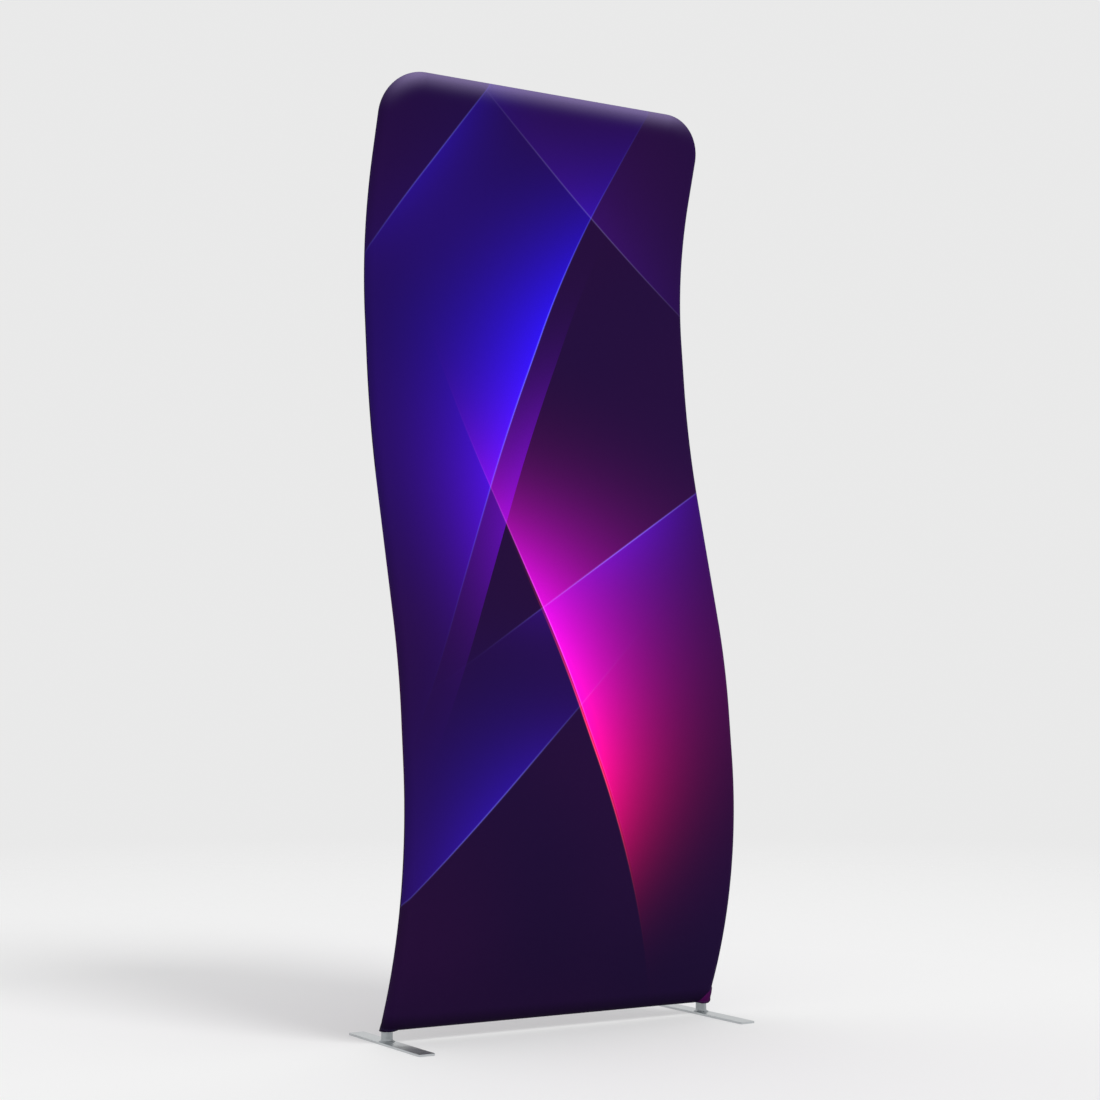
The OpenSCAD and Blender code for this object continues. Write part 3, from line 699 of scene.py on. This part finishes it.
class Row:
    """One row of a panel from seam to seam.

    dist is how far up the side curve it is, half how far out its flat stretch goes, corner its angle round
    a top corner, and hem how far it is turned in, as a share of a quarter turn."""

    def __init__(self, dist, half=SIDE_X, corner=0.0, hem=0.0):
        self.station = station_at(dist)
        self.dist, self.half, self.corner, self.hem = dist, half, corner, hem
        self.flare = HEM_FLARE * math.sin(QUARTER * min(1.0, hem / FLARE_FULL_AT))


def hem_drop(row, out, rightward=0.0):
    """How far down the curve a point of an open hem lies. Its edge is level, but rises to the right seam."""
    lean = row.station[2]
    level = (SLEEVE_R - out * math.sin(lean)) / math.cos(lean)
    return row.hem * (level - HEM_RISE * max(0.0, rightward) ** 2)


def above_hem(row, down):
    return row.dist - BAR_AT + SLEEVE_R - down


def flat_point(row, face, f):
    """A point between the side tubes, and its place in the flat layout."""
    x = f * row.half
    closed_r = SLEEVE_R - seam_dip(row.hem)
    beside_post = smoothstep(abs(x), OPENING_FROM, OPENING_TO) if row.hem else 0.0
    down = mix(closed_r * math.sin(QUARTER * row.hem), hem_drop(row, face * SLEEVE_R), beside_post)
    out = mix(closed_r * math.cos(QUARTER * row.hem), SLEEVE_R + row.flare, beside_post)
    out += corner_fold(x, above_hem(row, down), face)
    back = draw_at(row.dist) * (1 - f * f)
    point = off_station(row.station, x, face * max(out, SEAM_GAP) + back, -down)
    return point, (x, row.dist - mix(SLEEVE_R * QUARTER * row.hem, down, beside_post))


def wrap_point(row, face, side, t):
    """A point a share t of the way round a side tube, and its place in the flat layout."""
    turn = t * QUARTER
    away = row.half + SLEEVE_R * math.sin(turn) * math.cos(row.corner)
    down = hem_drop(row, face * SLEEVE_R * math.cos(turn), side * math.sin(turn))
    fold = corner_fold(side * away, above_hem(row, down), face) * smoothstep(1 - t, 0, FOLD_FADE)
    r = SLEEVE_R + row.flare - seam_dip(t) + fold
    x = side * (row.half + r * math.sin(turn) * math.cos(row.corner))
    up = r * math.sin(turn) * math.sin(row.corner) - down
    point = off_station(row.station, x, face * max(r * math.cos(turn), SEAM_GAP), up)
    flat = (side * (row.half + SLEEVE_R * turn * math.cos(row.corner)),
            row.dist + SLEEVE_R * turn * math.sin(row.corner) - down)
    return point, flat


def column_point(row, face, i):
    """The point of one column of a row, counted from the left seam, and its place in the flat layout."""
    if i < WRAP_N:
        return wrap_point(row, face, -1, WRAP[WRAP_N - i])
    if i > WRAP_N + FLAT_N:
        return wrap_point(row, face, 1, WRAP[i - WRAP_N - FLAT_N])
    return flat_point(row, face, FLAT[i - WRAP_N])


def side_distances():
    """Distances up the side tubes for the rows, with one at each edge of the zip's slot."""
    edges = [BAR_AT, ZIP_AT - ZIP_SLOT / 2, ZIP_AT + ZIP_SLOT / 2, CORNER_AT]
    found = [BAR_AT]
    for low, high in zip(edges, edges[1:]):
        count = max(2, round((high - low) / ROW_STEP))
        found += list(np.linspace(low, high, count + 1))[1:]
    return found


def corner_row(step):
    """One of the rows that round off the top corners."""
    angle = QUARTER * step / CORNER_STEPS
    return Row(CORNER_AT + CORNER_R * math.sin(angle), SIDE_X - CORNER_R * (1 - math.cos(angle)), angle)


ROWS = [Row(BAR_AT, hem=t) for t in reversed(HEM[1:])] + [Row(d) for d in side_distances()]
ROWS += [corner_row(step) for step in range(1, CORNER_STEPS + 1)]


def panel_points(face):
    """A panel's points and their places in the flat layout: its rows, then the wrap over the top bar."""
    found = [column_point(row, face, i) for row in ROWS for i in range(COL_N + 1)]
    top = ROWS[-1]
    for t in WRAP[1:]:
        r = SLEEVE_R - seam_dip(t)
        for f in FLAT[1:-1]:
            out = face * max(r * math.cos(QUARTER * t), SEAM_GAP)
            point = off_station(top.station, f * top.half, out, r * math.sin(QUARTER * t))
            found.append((point, (f * top.half, top.dist + SLEEVE_R * QUARTER * t)))
    return [point for point, _ in found], [flat for _, flat in found]


def crown_index(k, i):
    """Which point lies k steps over the top bar in column i: on the last row, one of its wraps or past it."""
    last = (len(ROWS) - 1) * (COL_N + 1) + WRAP_N
    if k == 0:
        return last + i
    if i == 0:
        return last - k
    if i == FLAT_N:
        return last + FLAT_N + k
    return len(ROWS) * (COL_N + 1) + (k - 1) * (FLAT_N - 1) + i - 1


def panel_faces(face, points):
    """The faces of a panel. The back panel leaves out the zip's slot."""
    faces = []
    for j, (low, high) in enumerate(zip(ROWS, ROWS[1:])):
        slot_row = face > 0 and low.hem == 0 and abs((low.dist + high.dist) / 2 - ZIP_AT) < ZIP_SLOT / 2
        for i in range(COL_N):
            a, b = j * (COL_N + 1) + i, (j + 1) * (COL_N + 1) + i
            in_slot = slot_row and max(abs(points[a].x), abs(points[a + 1].x)) < SLOT_HALF + SAME_POINT
            if not in_slot:
                faces.append((a, a + 1, b + 1, b))
    for k in range(WRAP_N):
        for i in range(FLAT_N):
            faces.append((crown_index(k, i), crown_index(k, i + 1),
                          crown_index(k + 1, i + 1), crown_index(k + 1, i)))
    return faces if face < 0 else [tuple(reversed(f)) for f in faces]


def lay_out(made, layout):
    """Gives each point of an object its place in the flat layout, which the print goes by."""
    uv = made.data.uv_layers.new(name="layout")
    corners = np.zeros(len(made.data.loops), np.int32)
    made.data.loops.foreach_get("vertex_index", corners)
    uv.data.foreach_set("uv", np.array(layout, np.float32)[corners].ravel())


def sleeve_panel(name, face, finish):
    """One panel of the sleeve: face is -1 for the front and 1 for the back."""
    points, layout = panel_points(face)
    panel = make_object(name, points, panel_faces(face, points), [finish, INSIDE])
    lay_out(panel, layout)
    thick = panel.modifiers.new("fabric", "SOLIDIFY")
    thick.thickness = FABRIC_T
    thick.offset = -1
    thick.material_offset = 1
    return panel


front_cloth = sleeve_panel("front_cloth", -1, PRINT_FRONT)
back_cloth = sleeve_panel("back_cloth", 1, PRINT_BACK)

# The hem round each post: a rolled edge, and two rows of stitches above it.

ROLL_R = 0.0007
HEM_STITCH_AT = (0.55, 0.7)
HEM_STITCH_PITCH = 0.0026


def opening_line(side, hem, lift):
    """A closed line round one post's opening, a lift away from the fabric's outer face."""
    row = Row(BAR_AT, hem=hem)
    first = next(i for i, f in enumerate(FLAT) if f * SIDE_X >= OPENING_FROM)
    line = []
    for face in (-1, 1):
        half = []
        for i in range(WRAP_N + first, COL_N + 1):
            point, _ = column_point(row, face, i if side > 0 else COL_N - i)
            outward = Vector((point.x - side * SIDE_X, 0, 0))
            outward += off_station(row.station, 0, face) - off_station(row.station, 0, 0)
            half.append(point + outward.normalized() * lift)
        line += half if face < 0 else half[::-1]
    return line


def hem_edge_roll():
    """The rolled edges. They lie in the dark ground of the print, which painted shade darkens further along
    the hem, far below its facets of light.
    """
    loft = Loft()
    for side in (-1, 1):
        line = opening_line(side, 1.0, 0.0)
        sweep(loft, line, [ROLL_R] * len(line), closed=True)
    roll = loft.make("hem_roll", PRINT_FRONT)
    lay_out(roll, [(p.x / 2, p.y) for p in loft.points])
    return roll


def hem_stitching():
    loft = Loft()
    for side in (-1, 1):
        for hem in HEM_STITCH_AT:
            add_stitches(loft, opening_line(side, hem, THREAD_LIFT), HEM_STITCH_PITCH)
    return loft.make("hem_stitches", THREAD)


hem_roll = hem_edge_roll()
hem_stitches = hem_stitching()

# The zip is made in its own frame: x across, y out to the back, z up along the curve.

zip_station = station_at(ZIP_AT)


def on_zip(x, y, z):
    """A point in the zip's frame as a point of the object."""
    return off_station(zip_station, x, y, z)


# Stitches hold the tapes in the slot: a row above and below it, and two bar tacks across each end.
STITCH_OFF = 0.0025
STITCH_PAST = 0.004
TACK_PAST = (0.003, 0.0045)
TACK_HALF = 0.008
TACK_PITCH = 0.0016


def slot_stitching():
    loft = Loft()
    out = SLEEVE_R + THREAD_LIFT
    half = SLOT_HALF + STITCH_PAST
    for s in (-1, 1):
        station = station_at(ZIP_AT + s * (ZIP_SLOT / 2 + STITCH_OFF))
        add_stitches(loft, [off_station(station, x, out) for x in (-half, half)])
    for s in (-1, 1):
        for past in TACK_PAST:
            tack = [on_zip(s * (SLOT_HALF + past), out, z) for z in (-TACK_HALF, TACK_HALF)]
            add_stitches(loft, tack, TACK_PITCH)
    return loft.make("slot_stitches", THREAD)


slot_stitches = slot_stitching()

# The tape's section at its two edges: distances from the edge, and how far below the tape's face.
CORDED_EDGE = [(0.0, 0.0), (0.0026, 0.0), (0.0031, 0.00015), (0.0036, 0.0)]
SELVEDGE = [(0.0016, 0.0), (0.0011, 0.00012), (0.0004, 0.0), (0.0, 0.0002)]
TAPE_STEPS = 41


def zip_tape(name, s):
    """Woven tape above (s = 1) or below (s = -1) the middle of the zip."""
    inner, outer = TEETH_GAP / 2, ZIP_SLOT / 2 + TAPE_OVER
    profile = [(inner + off, TAPE_OUT - below) for off, below in CORDED_EDGE]
    profile += [(outer - off, TAPE_OUT - below) for off, below in SELVEDGE]
    profile += [(outer - off, TAPE_OUT - TAPE_T + below) for off, below in reversed(SELVEDGE[2:])]
    profile.append((inner, TAPE_OUT - TAPE_T))
    loft = Loft()
    places = np.linspace(-TAPE_HALF, TAPE_HALF, TAPE_STEPS)
    loft.rings([[on_zip(x, y, s * z) for z, y in (profile if s > 0 else profile[::-1])] for x in places])
    return loft.make(name, TAPE, smooth=False)


# One loop of a coil, from the middle of the zip outwards: distances from there, and half its width.
COIL_LOOP = [(0.00046, 0.00025), (0.00062, 0.00062), (0.001, 0.00066), (0.0014, 0.00046),
             (0.0026, 0.00042), (0.003, 0.0003)]
COIL_PITCH = 0.002
COIL_SIDES = 8
COIL_TALL = 0.96
COIL_END_TALL = 0.6


def zip_coil(name, s):
    """A row of coil loops with wide heads, which stand between those of the other row."""
    loft = Loft()
    angles = [s * a for a in around(COIL_SIDES)]
    first = -ROW_HALF + COIL_PITCH * (0.5 if s > 0 else 1.0)
    for n in range(int((2 * ROW_HALF - COIL_PITCH) / COIL_PITCH)):
        x = first + n * COIL_PITCH
        rings = []
        for z, wide in COIL_LOOP:
            at_end = z in (COIL_LOOP[0][0], COIL_LOOP[-1][0])
            tall = TEETH_T / 2 * (COIL_END_TALL if at_end else COIL_TALL)
            rings.append([on_zip(x + wide * math.cos(a), TEETH_MID + tall * math.sin(a), s * z)
                          for a in angles])
        loft.rings(rings)
    return loft.make(name, COIL)


upper_tape = zip_tape("zip_tape_upper", 1)
lower_tape = zip_tape("zip_tape_lower", -1)
upper_coil = zip_coil("zip_coil_upper", 1)
lower_coil = zip_coil("zip_coil_lower", -1)


def at_slider(outline):
    """An outline in x and z round the slider's middle, moved to where the slider is."""
    return [Vector((SLIDER_X + x, z)) for x, z in outline]


def rectangle(x0, x1, z0, z1):
    """The corners of a rectangle in x and z. Either of z0 and z1 may be the lower one."""
    low, high = sorted((z0, z1))
    return [(x0, low), (x1, low), (x1, high), (x0, high)]


def rounded_outline(corners, radius, steps=5):
    """The outline of a polygon whose corners are rounded."""
    found = []
    count = len(corners)
    for i in range(count):
        here = Vector(corners[i])
        before = (Vector(corners[i - 1]) - here).normalized()
        after = (Vector(corners[(i + 1) % count]) - here).normalized()
        for k in range(steps + 1):
            t = k / steps
            a, b = here + before * radius * (1 - t), here + after * radius * t
            found.append(a.lerp(b, t))
    return found


def ring_towards(line, centres, inset, y):
    """A line in x and z at a depth y, with each point drawn towards a centre of its own by an inset."""
    drawn = [p + (centre - p).normalized() * inset for p, centre in zip(line, centres)]
    return [on_zip(q.x, y, q.y) for q in drawn]


def slab(loft, outline, low, high, edge, hole=None):
    """A plate from an outline in x and z, with chamfered edges. A hole has as many points as the outline."""
    steps = [(low, edge), (low + edge, 0.0), (high - edge, 0.0), (high, edge)]
    centres = [sum(outline, Vector((0, 0))) / len(outline)] * len(outline)
    if hole:
        centres = [a.lerp(b, 0.5) for a, b in zip(outline, hole)]
    rings = [ring_towards(outline, centres, inset, y) for y, inset in steps]
    if hole:
        rings += [ring_towards(hole, centres, inset, y) for y, inset in reversed(steps)]
    loft.rings(rings, closed=bool(hole))


# The slider: two plates, a neck between them, and a bridge for the pull tab's pin. This is half its outline,
# in x and z from its closed end to its mouth. Between its shoulders, lips on the plates hold the rows in.
SLIDER_HALF_H = 0.0043
SHOULDER_FROM = -0.00245
SHOULDER_TO = 0.0042
SLIDER_SHAPE = [(-0.007, 0.0030), (SHOULDER_FROM, SLIDER_HALF_H), (SHOULDER_TO, SLIDER_HALF_H),
                (0.007, 0.0034)]
SLIDER_T = 0.0012
SLIDER_ROUND = 0.0009
SLIDER_EDGE = 0.00035
PLATE_OFF = TEETH_T / 2 + 0.00035
NECK_HALF_L = 0.0015
NECK_HALF_H = 0.0004
NECK_EDGE = 0.00002
LIP = 0.0009
LIP_SINK = 0.0004
LIP_EDGE = 0.00015
# Half of the bridge, from its foot to its top: x, height above the plate, share of its width, and which way
# its outer side faces.
BRIDGE = [(0.0031, -0.0003, 1.0, (1.0, 0.0)), (0.0031, 0.0014, 0.85, (1.0, 0.0)),
          (0.0028, 0.0022, 0.8, (0.7, 0.7)), (0.0021, 0.00265, 0.75, (0.0, 1.0))]
BRIDGE_HALF_W = 0.0012
BRIDGE_HALF_T = 0.00045
BRIDGE_CROWN = 0.8


def slider_plates(loft, outer, inner):
    shape = [(x, -z) for x, z in SLIDER_SHAPE] + SLIDER_SHAPE[::-1]
    outline = at_slider(rounded_outline(shape, SLIDER_ROUND))
    for low in (outer, inner):
        slab(loft, outline, low, low + SLIDER_T, SLIDER_EDGE)
    neck = at_slider(rectangle(-NECK_HALF_L, NECK_HALF_L, -NECK_HALF_H, NECK_HALF_H))
    slab(loft, neck, inner + SLIDER_T, outer, NECK_EDGE)


def slider_lips(loft, outer, inner):
    face = inner + SLIDER_T
    for s in (-1, 1):
        lip = at_slider(rectangle(SHOULDER_FROM, SHOULDER_TO, s * (SLIDER_HALF_H - LIP), s * SLIDER_HALF_H))
        slab(loft, lip, outer - LIP, outer + LIP_SINK, LIP_EDGE)
        slab(loft, lip, face - LIP_SINK, face + LIP, LIP_EDGE)


def slider_bridge(loft, top):
    arch = [(-x, up, wide, (-nx, ny)) for x, up, wide, (nx, ny) in BRIDGE] + BRIDGE[::-1]
    rings = []
    for x, up, wide, (nx, ny) in arch:
        ring = []
        for out, z in ((-1, -1), (1, -BRIDGE_CROWN), (1, BRIDGE_CROWN), (-1, 1)):
            off = out * BRIDGE_HALF_T
            ring.append(on_zip(SLIDER_X + x + nx * off, top + up + ny * off, z * BRIDGE_HALF_W * wide))
        rings.append(ring)
    loft.rings(rings)


def zip_slider():
    loft = Loft()
    outer = TEETH_MID + PLATE_OFF
    inner = TEETH_MID - PLATE_OFF - SLIDER_T
    slider_plates(loft, outer, inner)
    slider_lips(loft, outer, inner)
    slider_bridge(loft, outer + SLIDER_T)
    return loft.make("zip_slider_body", FINISHES["zip_metal"], smooth=False)


slider = zip_slider()

# The pull tab, with distances from its pin: two arms, and a blade with a slot and ridges for the grip.
TAB_HALF_T = 0.00075
TAB_LOW = PIN_Y - TAB_HALF_T
TAB_TOP = PIN_Y + TAB_HALF_T
PIN_R = 0.0008
PIN_END_R = 0.00065
ARM_Z = 0.0016
ARM_W = 0.0012
ARM_FROM = -0.0078
ARM_TO = 0.0009
ARM_ROUND = 0.00035
ARM_EDGE = 0.00025
BLADE_POINTS = 32
BLADE_MID = -0.018
BLADE_HALF_L = 0.012
BLADE_HALF_H = 0.0039
BLADE_EDGE = 0.0003
# How round the blade's far and near ends and its sides are, and the share of its width at its near end.
FAR_ROUND = 0.55
NEAR_ROUND = 0.25
SIDE_ROUND = 0.3
NEAR_WIDTH = 0.86
HOLE_MID = -0.0235
HOLE_HALF_L = 0.0036
HOLE_HALF_H = 0.0015
RIDGES = 4
RIDGE_FROM = -0.0175
RIDGE_STEP = 0.002
RIDGE_R = 0.0003
RIDGE_END_R = 0.0001
RIDGE_HALF = 0.0024
RIDGE_TIP = 0.0026


def tab_arms(loft):
    """The pin and the two arms that it goes through."""
    end = ARM_Z + ARM_W
    pin = [on_zip(SLIDER_X, PIN_Y, z) for z in (-end, -ARM_Z, ARM_Z, end)]
    sweep(loft, pin, [PIN_END_R, PIN_R, PIN_R, PIN_END_R], sides=12)
    for s in (-1, 1):
        arm = rounded_outline(rectangle(ARM_FROM, ARM_TO, s * ARM_Z, s * end), ARM_ROUND, steps=3)
        slab(loft, at_slider(arm), TAB_LOW, TAB_TOP, ARM_EDGE)


def tab_blade(loft):
    """The blade with its slot. Both outlines are drawn-out circles, and the outer one is squarer."""
    outline, hole = [], []
    for angle in around(BLADE_POINTS):
        c, s = math.cos(angle), math.sin(angle)
        square = 1 / max(abs(c), abs(s))
        x = c * mix(square, 1, FAR_ROUND if c < 0 else NEAR_ROUND)
        z = s * mix(square, 1, SIDE_ROUND) * mix(1, NEAR_WIDTH, max(0, c))
        outline.append((BLADE_MID + BLADE_HALF_L * x, BLADE_HALF_H * z))
        hole.append((HOLE_MID + HOLE_HALF_L * c, HOLE_HALF_H * s))
    slab(loft, at_slider(outline), TAB_LOW, TAB_TOP, BLADE_EDGE, at_slider(hole))


def tab_ridges(loft):
    for n in range(RIDGES):
        x = SLIDER_X + RIDGE_FROM + n * RIDGE_STEP
        places = (-RIDGE_TIP, -RIDGE_HALF, RIDGE_HALF, RIDGE_TIP)
        ridge = [on_zip(x, TAB_TOP - RIDGE_END_R, z) for z in places]
        sweep(loft, ridge, [RIDGE_END_R, RIDGE_R, RIDGE_R, RIDGE_END_R])


def pull_tab():
    loft = Loft()
    tab_arms(loft)
    tab_blade(loft)
    tab_ridges(loft)
    return loft.make("zip_pull", FINISHES["zip_metal"], smooth=False)


tab = pull_tab()

STOP_CLEAR = 0.0001
STOP_HALF_L = STOP_L / 2 - 0.0002
STOP_HALF_H = 0.003
STOP_ROUND = 0.0006
STOP_T = 0.00125
STOP_EDGE = 0.0003


def zip_stop_pair():
    """Metal clips that close the ends of the two rows."""
    loft = Loft()
    for s in (-1, 1):
        x = s * (ROW_HALF + STOP_L / 2 + STOP_CLEAR)
        clip = rectangle(x - STOP_HALF_L, x + STOP_HALF_L, -STOP_HALF_H, STOP_HALF_H)
        slab(loft, rounded_outline(clip, STOP_ROUND), TAPE_OUT, TAPE_OUT + STOP_T, STOP_EDGE)
    return loft.make("zip_stop_clips", FINISHES["zip_metal"], smooth=False)


stops = zip_stop_pair()

# The hairpin springs in the tubes: each is a piece of its own, made from one part of the solid and named
# after the nearest button.


def separate_parts(solid):
    """The separate parts of a solid, each as its points and faces."""
    whole = bmesh.new()
    whole.from_mesh(solid.data)
    bmesh.ops.remove_doubles(whole, verts=whole.verts, dist=SAME_POINT)
    waiting = set(whole.verts)
    found = []
    for start in whole.verts:
        if start not in waiting:
            continue
        waiting.discard(start)
        part, ends = [start], [start]
        while ends:
            here = ends.pop()
            for edge in here.link_edges:
                there = edge.other_vert(here)
                if there in waiting:
                    waiting.discard(there)
                    part.append(there)
                    ends.append(there)
        order = {v: i for i, v in enumerate(part)}
        faces = [[order[v] for v in face.verts] for face in whole.faces if face.verts[0] in order]
        found.append(([v.co.copy() for v in part], faces))
    whole.free()
    return found


def make_spring(points, faces, joint, node):
    """One spring, named after its button's joint."""
    name = joint["child"].replace("button", "spring")
    spring = make_object(name, points, faces, [FINISHES["spring"]], smooth=False)
    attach(spring, "banner")
    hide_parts(node)
    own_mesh(spring)


for side in ("left", "right"):
    presses = [j for j in frame["joints"] if j["name"].endswith(f"button_{side}_press")]
    for points, faces in separate_parts(frame["nodes"][f"snap_springs_{side}"]):
        nearest = min(presses, key=lambda j: (middle(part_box(j["child"])) - middle(points)).length)
        make_spring(points, faces, nearest, f"snap_springs_{side}")

# Finishes of the solids that stay, and softened edges on those that show.

# Solids with one of these words in their names are replaced by pieces above.
REPLACED_WORDS = ("panel", "zipper", "springs")
# A solid's finish goes by the first of these words that its name holds.
FINISH_BY_WORD = {
    "button": "button", "rivets": "rivet", "coupler": "coupler", "plate": "foot_plate",
    "post": "foot_post", "screws": "screw", "tube": "frame_tube", "bar": "frame_bar"}
PLATE_EDGE = 0.0006
POST_EDGE = 0.0003
JOIN_WITHIN = 0.000005
SHARP_FROM = math.radians(40)


def finish_of(node):
    for word, finish in FINISH_BY_WORD.items():
        if word in node:
            return FINISHES[finish]
    raise SystemExit(f"no finish is named for {node}")


def soften(node, width):
    """Rounds a solid's sharp edges a little, as a grinder leaves them."""
    solid = frame["nodes"][node]
    weld = solid.modifiers.new("join", "WELD")
    weld.merge_threshold = JOIN_WITHIN
    bevel = solid.modifiers.new("edges", "BEVEL")
    bevel.width = width
    bevel.segments = 2
    bevel.limit_method = "ANGLE"
    bevel.angle_limit = SHARP_FROM
    solid.modifiers.new("even", "WEIGHTED_NORMAL")


for node, solid in frame["nodes"].items():
    if not any(word in node for word in REPLACED_WORDS):
        solid.data.materials.clear()
        solid.data.materials.append(finish_of(node))
for side in ("left", "right"):
    soften(f"foot_plate_{side}", PLATE_EDGE)
    soften(f"foot_post_{side}", POST_EDGE)

# What each piece rides on, and which solid it stands for.

for piece in (front_cloth, back_cloth, hem_roll, hem_stitches, slot_stitches,
              upper_tape, lower_tape, upper_coil, lower_coil, stops):
    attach(piece, "banner")
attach(slider, "zipper_slider")
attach(tab, "zipper_pull_tab")
for piece, node in ((front_cloth, "front_panel"), (back_cloth, "back_panel"),
                    (upper_tape, "zipper_upper_half"), (lower_tape, "zipper_lower_half"),
                    (stops, "zipper_stops"), (slider, "zipper_slider"), (tab, "zipper_pull_tab")):
    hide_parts(node)

# Both panels are cut 3 to 4% smaller than the frame, so that they are taut on it. The frame's pieces are
# listed here, and nothing uses the list.
FRAME_PIECES = ["bottom_bar", "top_bar"]
for kind in ("lower", "middle", "upper", "corner"):
    FRAME_PIECES += [f"{kind}_tube_left", f"{kind}_tube_right"]

# The studio: a pale floor that fades into a pale surround, and soft light.

PALE = (0.8185, 0.8185, 0.8185, 1)
WHITE = (1.0, 1.0, 1.0, 1)
SURROUND_LIGHT = 0.68
FLOOR_COLOUR = (0.97, 0.97, 0.97, 1)
FLOOR_R = 7.0
FLOOR_POINTS = 96
FLOOR_FADE = (1.8, 6.7)
# How much of the pale surround is added to the floor where it is seen.
FLOOR_LIFT = 0.3
KEY_TOWARD = Vector((0.28, -0.96, 1.0))
KEY_AWAY = 4
KEY_WIDE = math.radians(24)
KEY_STRENGTH = 1.25


def shown_rays(nodes):
    """1 for rays from the camera and for rays that metal or glass sends on."""
    rays = nodes.add("LightPath").outputs
    seen = nodes.math("MAXIMUM", rays["Is Camera Ray"], rays["Is Glossy Ray"])
    return nodes.math("MAXIMUM", seen, rays["Is Transmission Ray"])


def make_world():
    """A white surround that lights the object, and is pale where it is seen."""
    world = bpy.data.worlds.new("studio")
    w = Nodes(world, "OutputWorld")
    white = w.light("Background", WHITE, SURROUND_LIGHT)
    w.link(w.mix_shaders(shown_rays(w), white, w.light("Background", PALE)), w.surface)
    bpy.context.scene.world = world


def pale_floor():
    """Matt floor that keeps its shadows, and clears away towards its rim so that the surround shows."""
    f = Finish("pale_floor")
    f.set(base_color=FLOOR_COLOUR, roughness=0.9, specular_IOR_level=0.1)
    lift = f.times(shown_rays(f), FLOOR_LIFT)
    lifted = f.mix_shaders(lift, f.shader.outputs[0], f.light("Emission", PALE))
    x, y, _ = f.split(f.place())
    fade = f.spread(f.distance(x, y), FLOOR_FADE, (0, 1))
    clear = f.add("BsdfTransparent").outputs[0]
    f.link(f.mix_shaders(fade, lifted, clear), f.surface)
    return f.material


def make_floor():
    rim = [(FLOOR_R * math.cos(a), FLOOR_R * math.sin(a), 0.0) for a in around(FLOOR_POINTS)]
    floor = make_object("floor", rim, [tuple(range(FLOOR_POINTS))], [pale_floor()], smooth=False)


def make_key():
    """One large soft lamp far off, to the front and right of the object. Metal doesn't mirror it."""
    lamp = bpy.data.lights.new("key", "SUN")
    lamp.angle = KEY_WIDE
    lamp.energy = KEY_STRENGTH
    made = bpy.data.objects.new("key", lamp)
    made.location = KEY_TOWARD * KEY_AWAY
    made.visible_glossy = False
    made.rotation_euler = (-KEY_TOWARD).to_track_quat("-Z", "Y").to_euler()
    bpy.context.scene.collection.objects.link(made)


make_world()
make_floor()
make_key()

# The camera stands low and to the left, level with the lower third of the banner, and looks up a little.
CAMERA_AT = (-2.652, -4.322, 0.800)
CAMERA_UP = math.radians(3.95)
CAMERA_RIGHT = math.radians(31.39)
camera_data = bpy.data.cameras.new("camera")
camera_data.sensor_width = 36
camera_data.lens = 68.35
camera = bpy.data.objects.new("camera", camera_data)
camera.location = CAMERA_AT
camera.rotation_euler = (QUARTER + CAMERA_UP, 0, -CAMERA_RIGHT)
bpy.context.scene.collection.objects.link(camera)
bpy.context.scene.camera = camera
bpy.context.scene.view_settings.view_transform = "Standard"
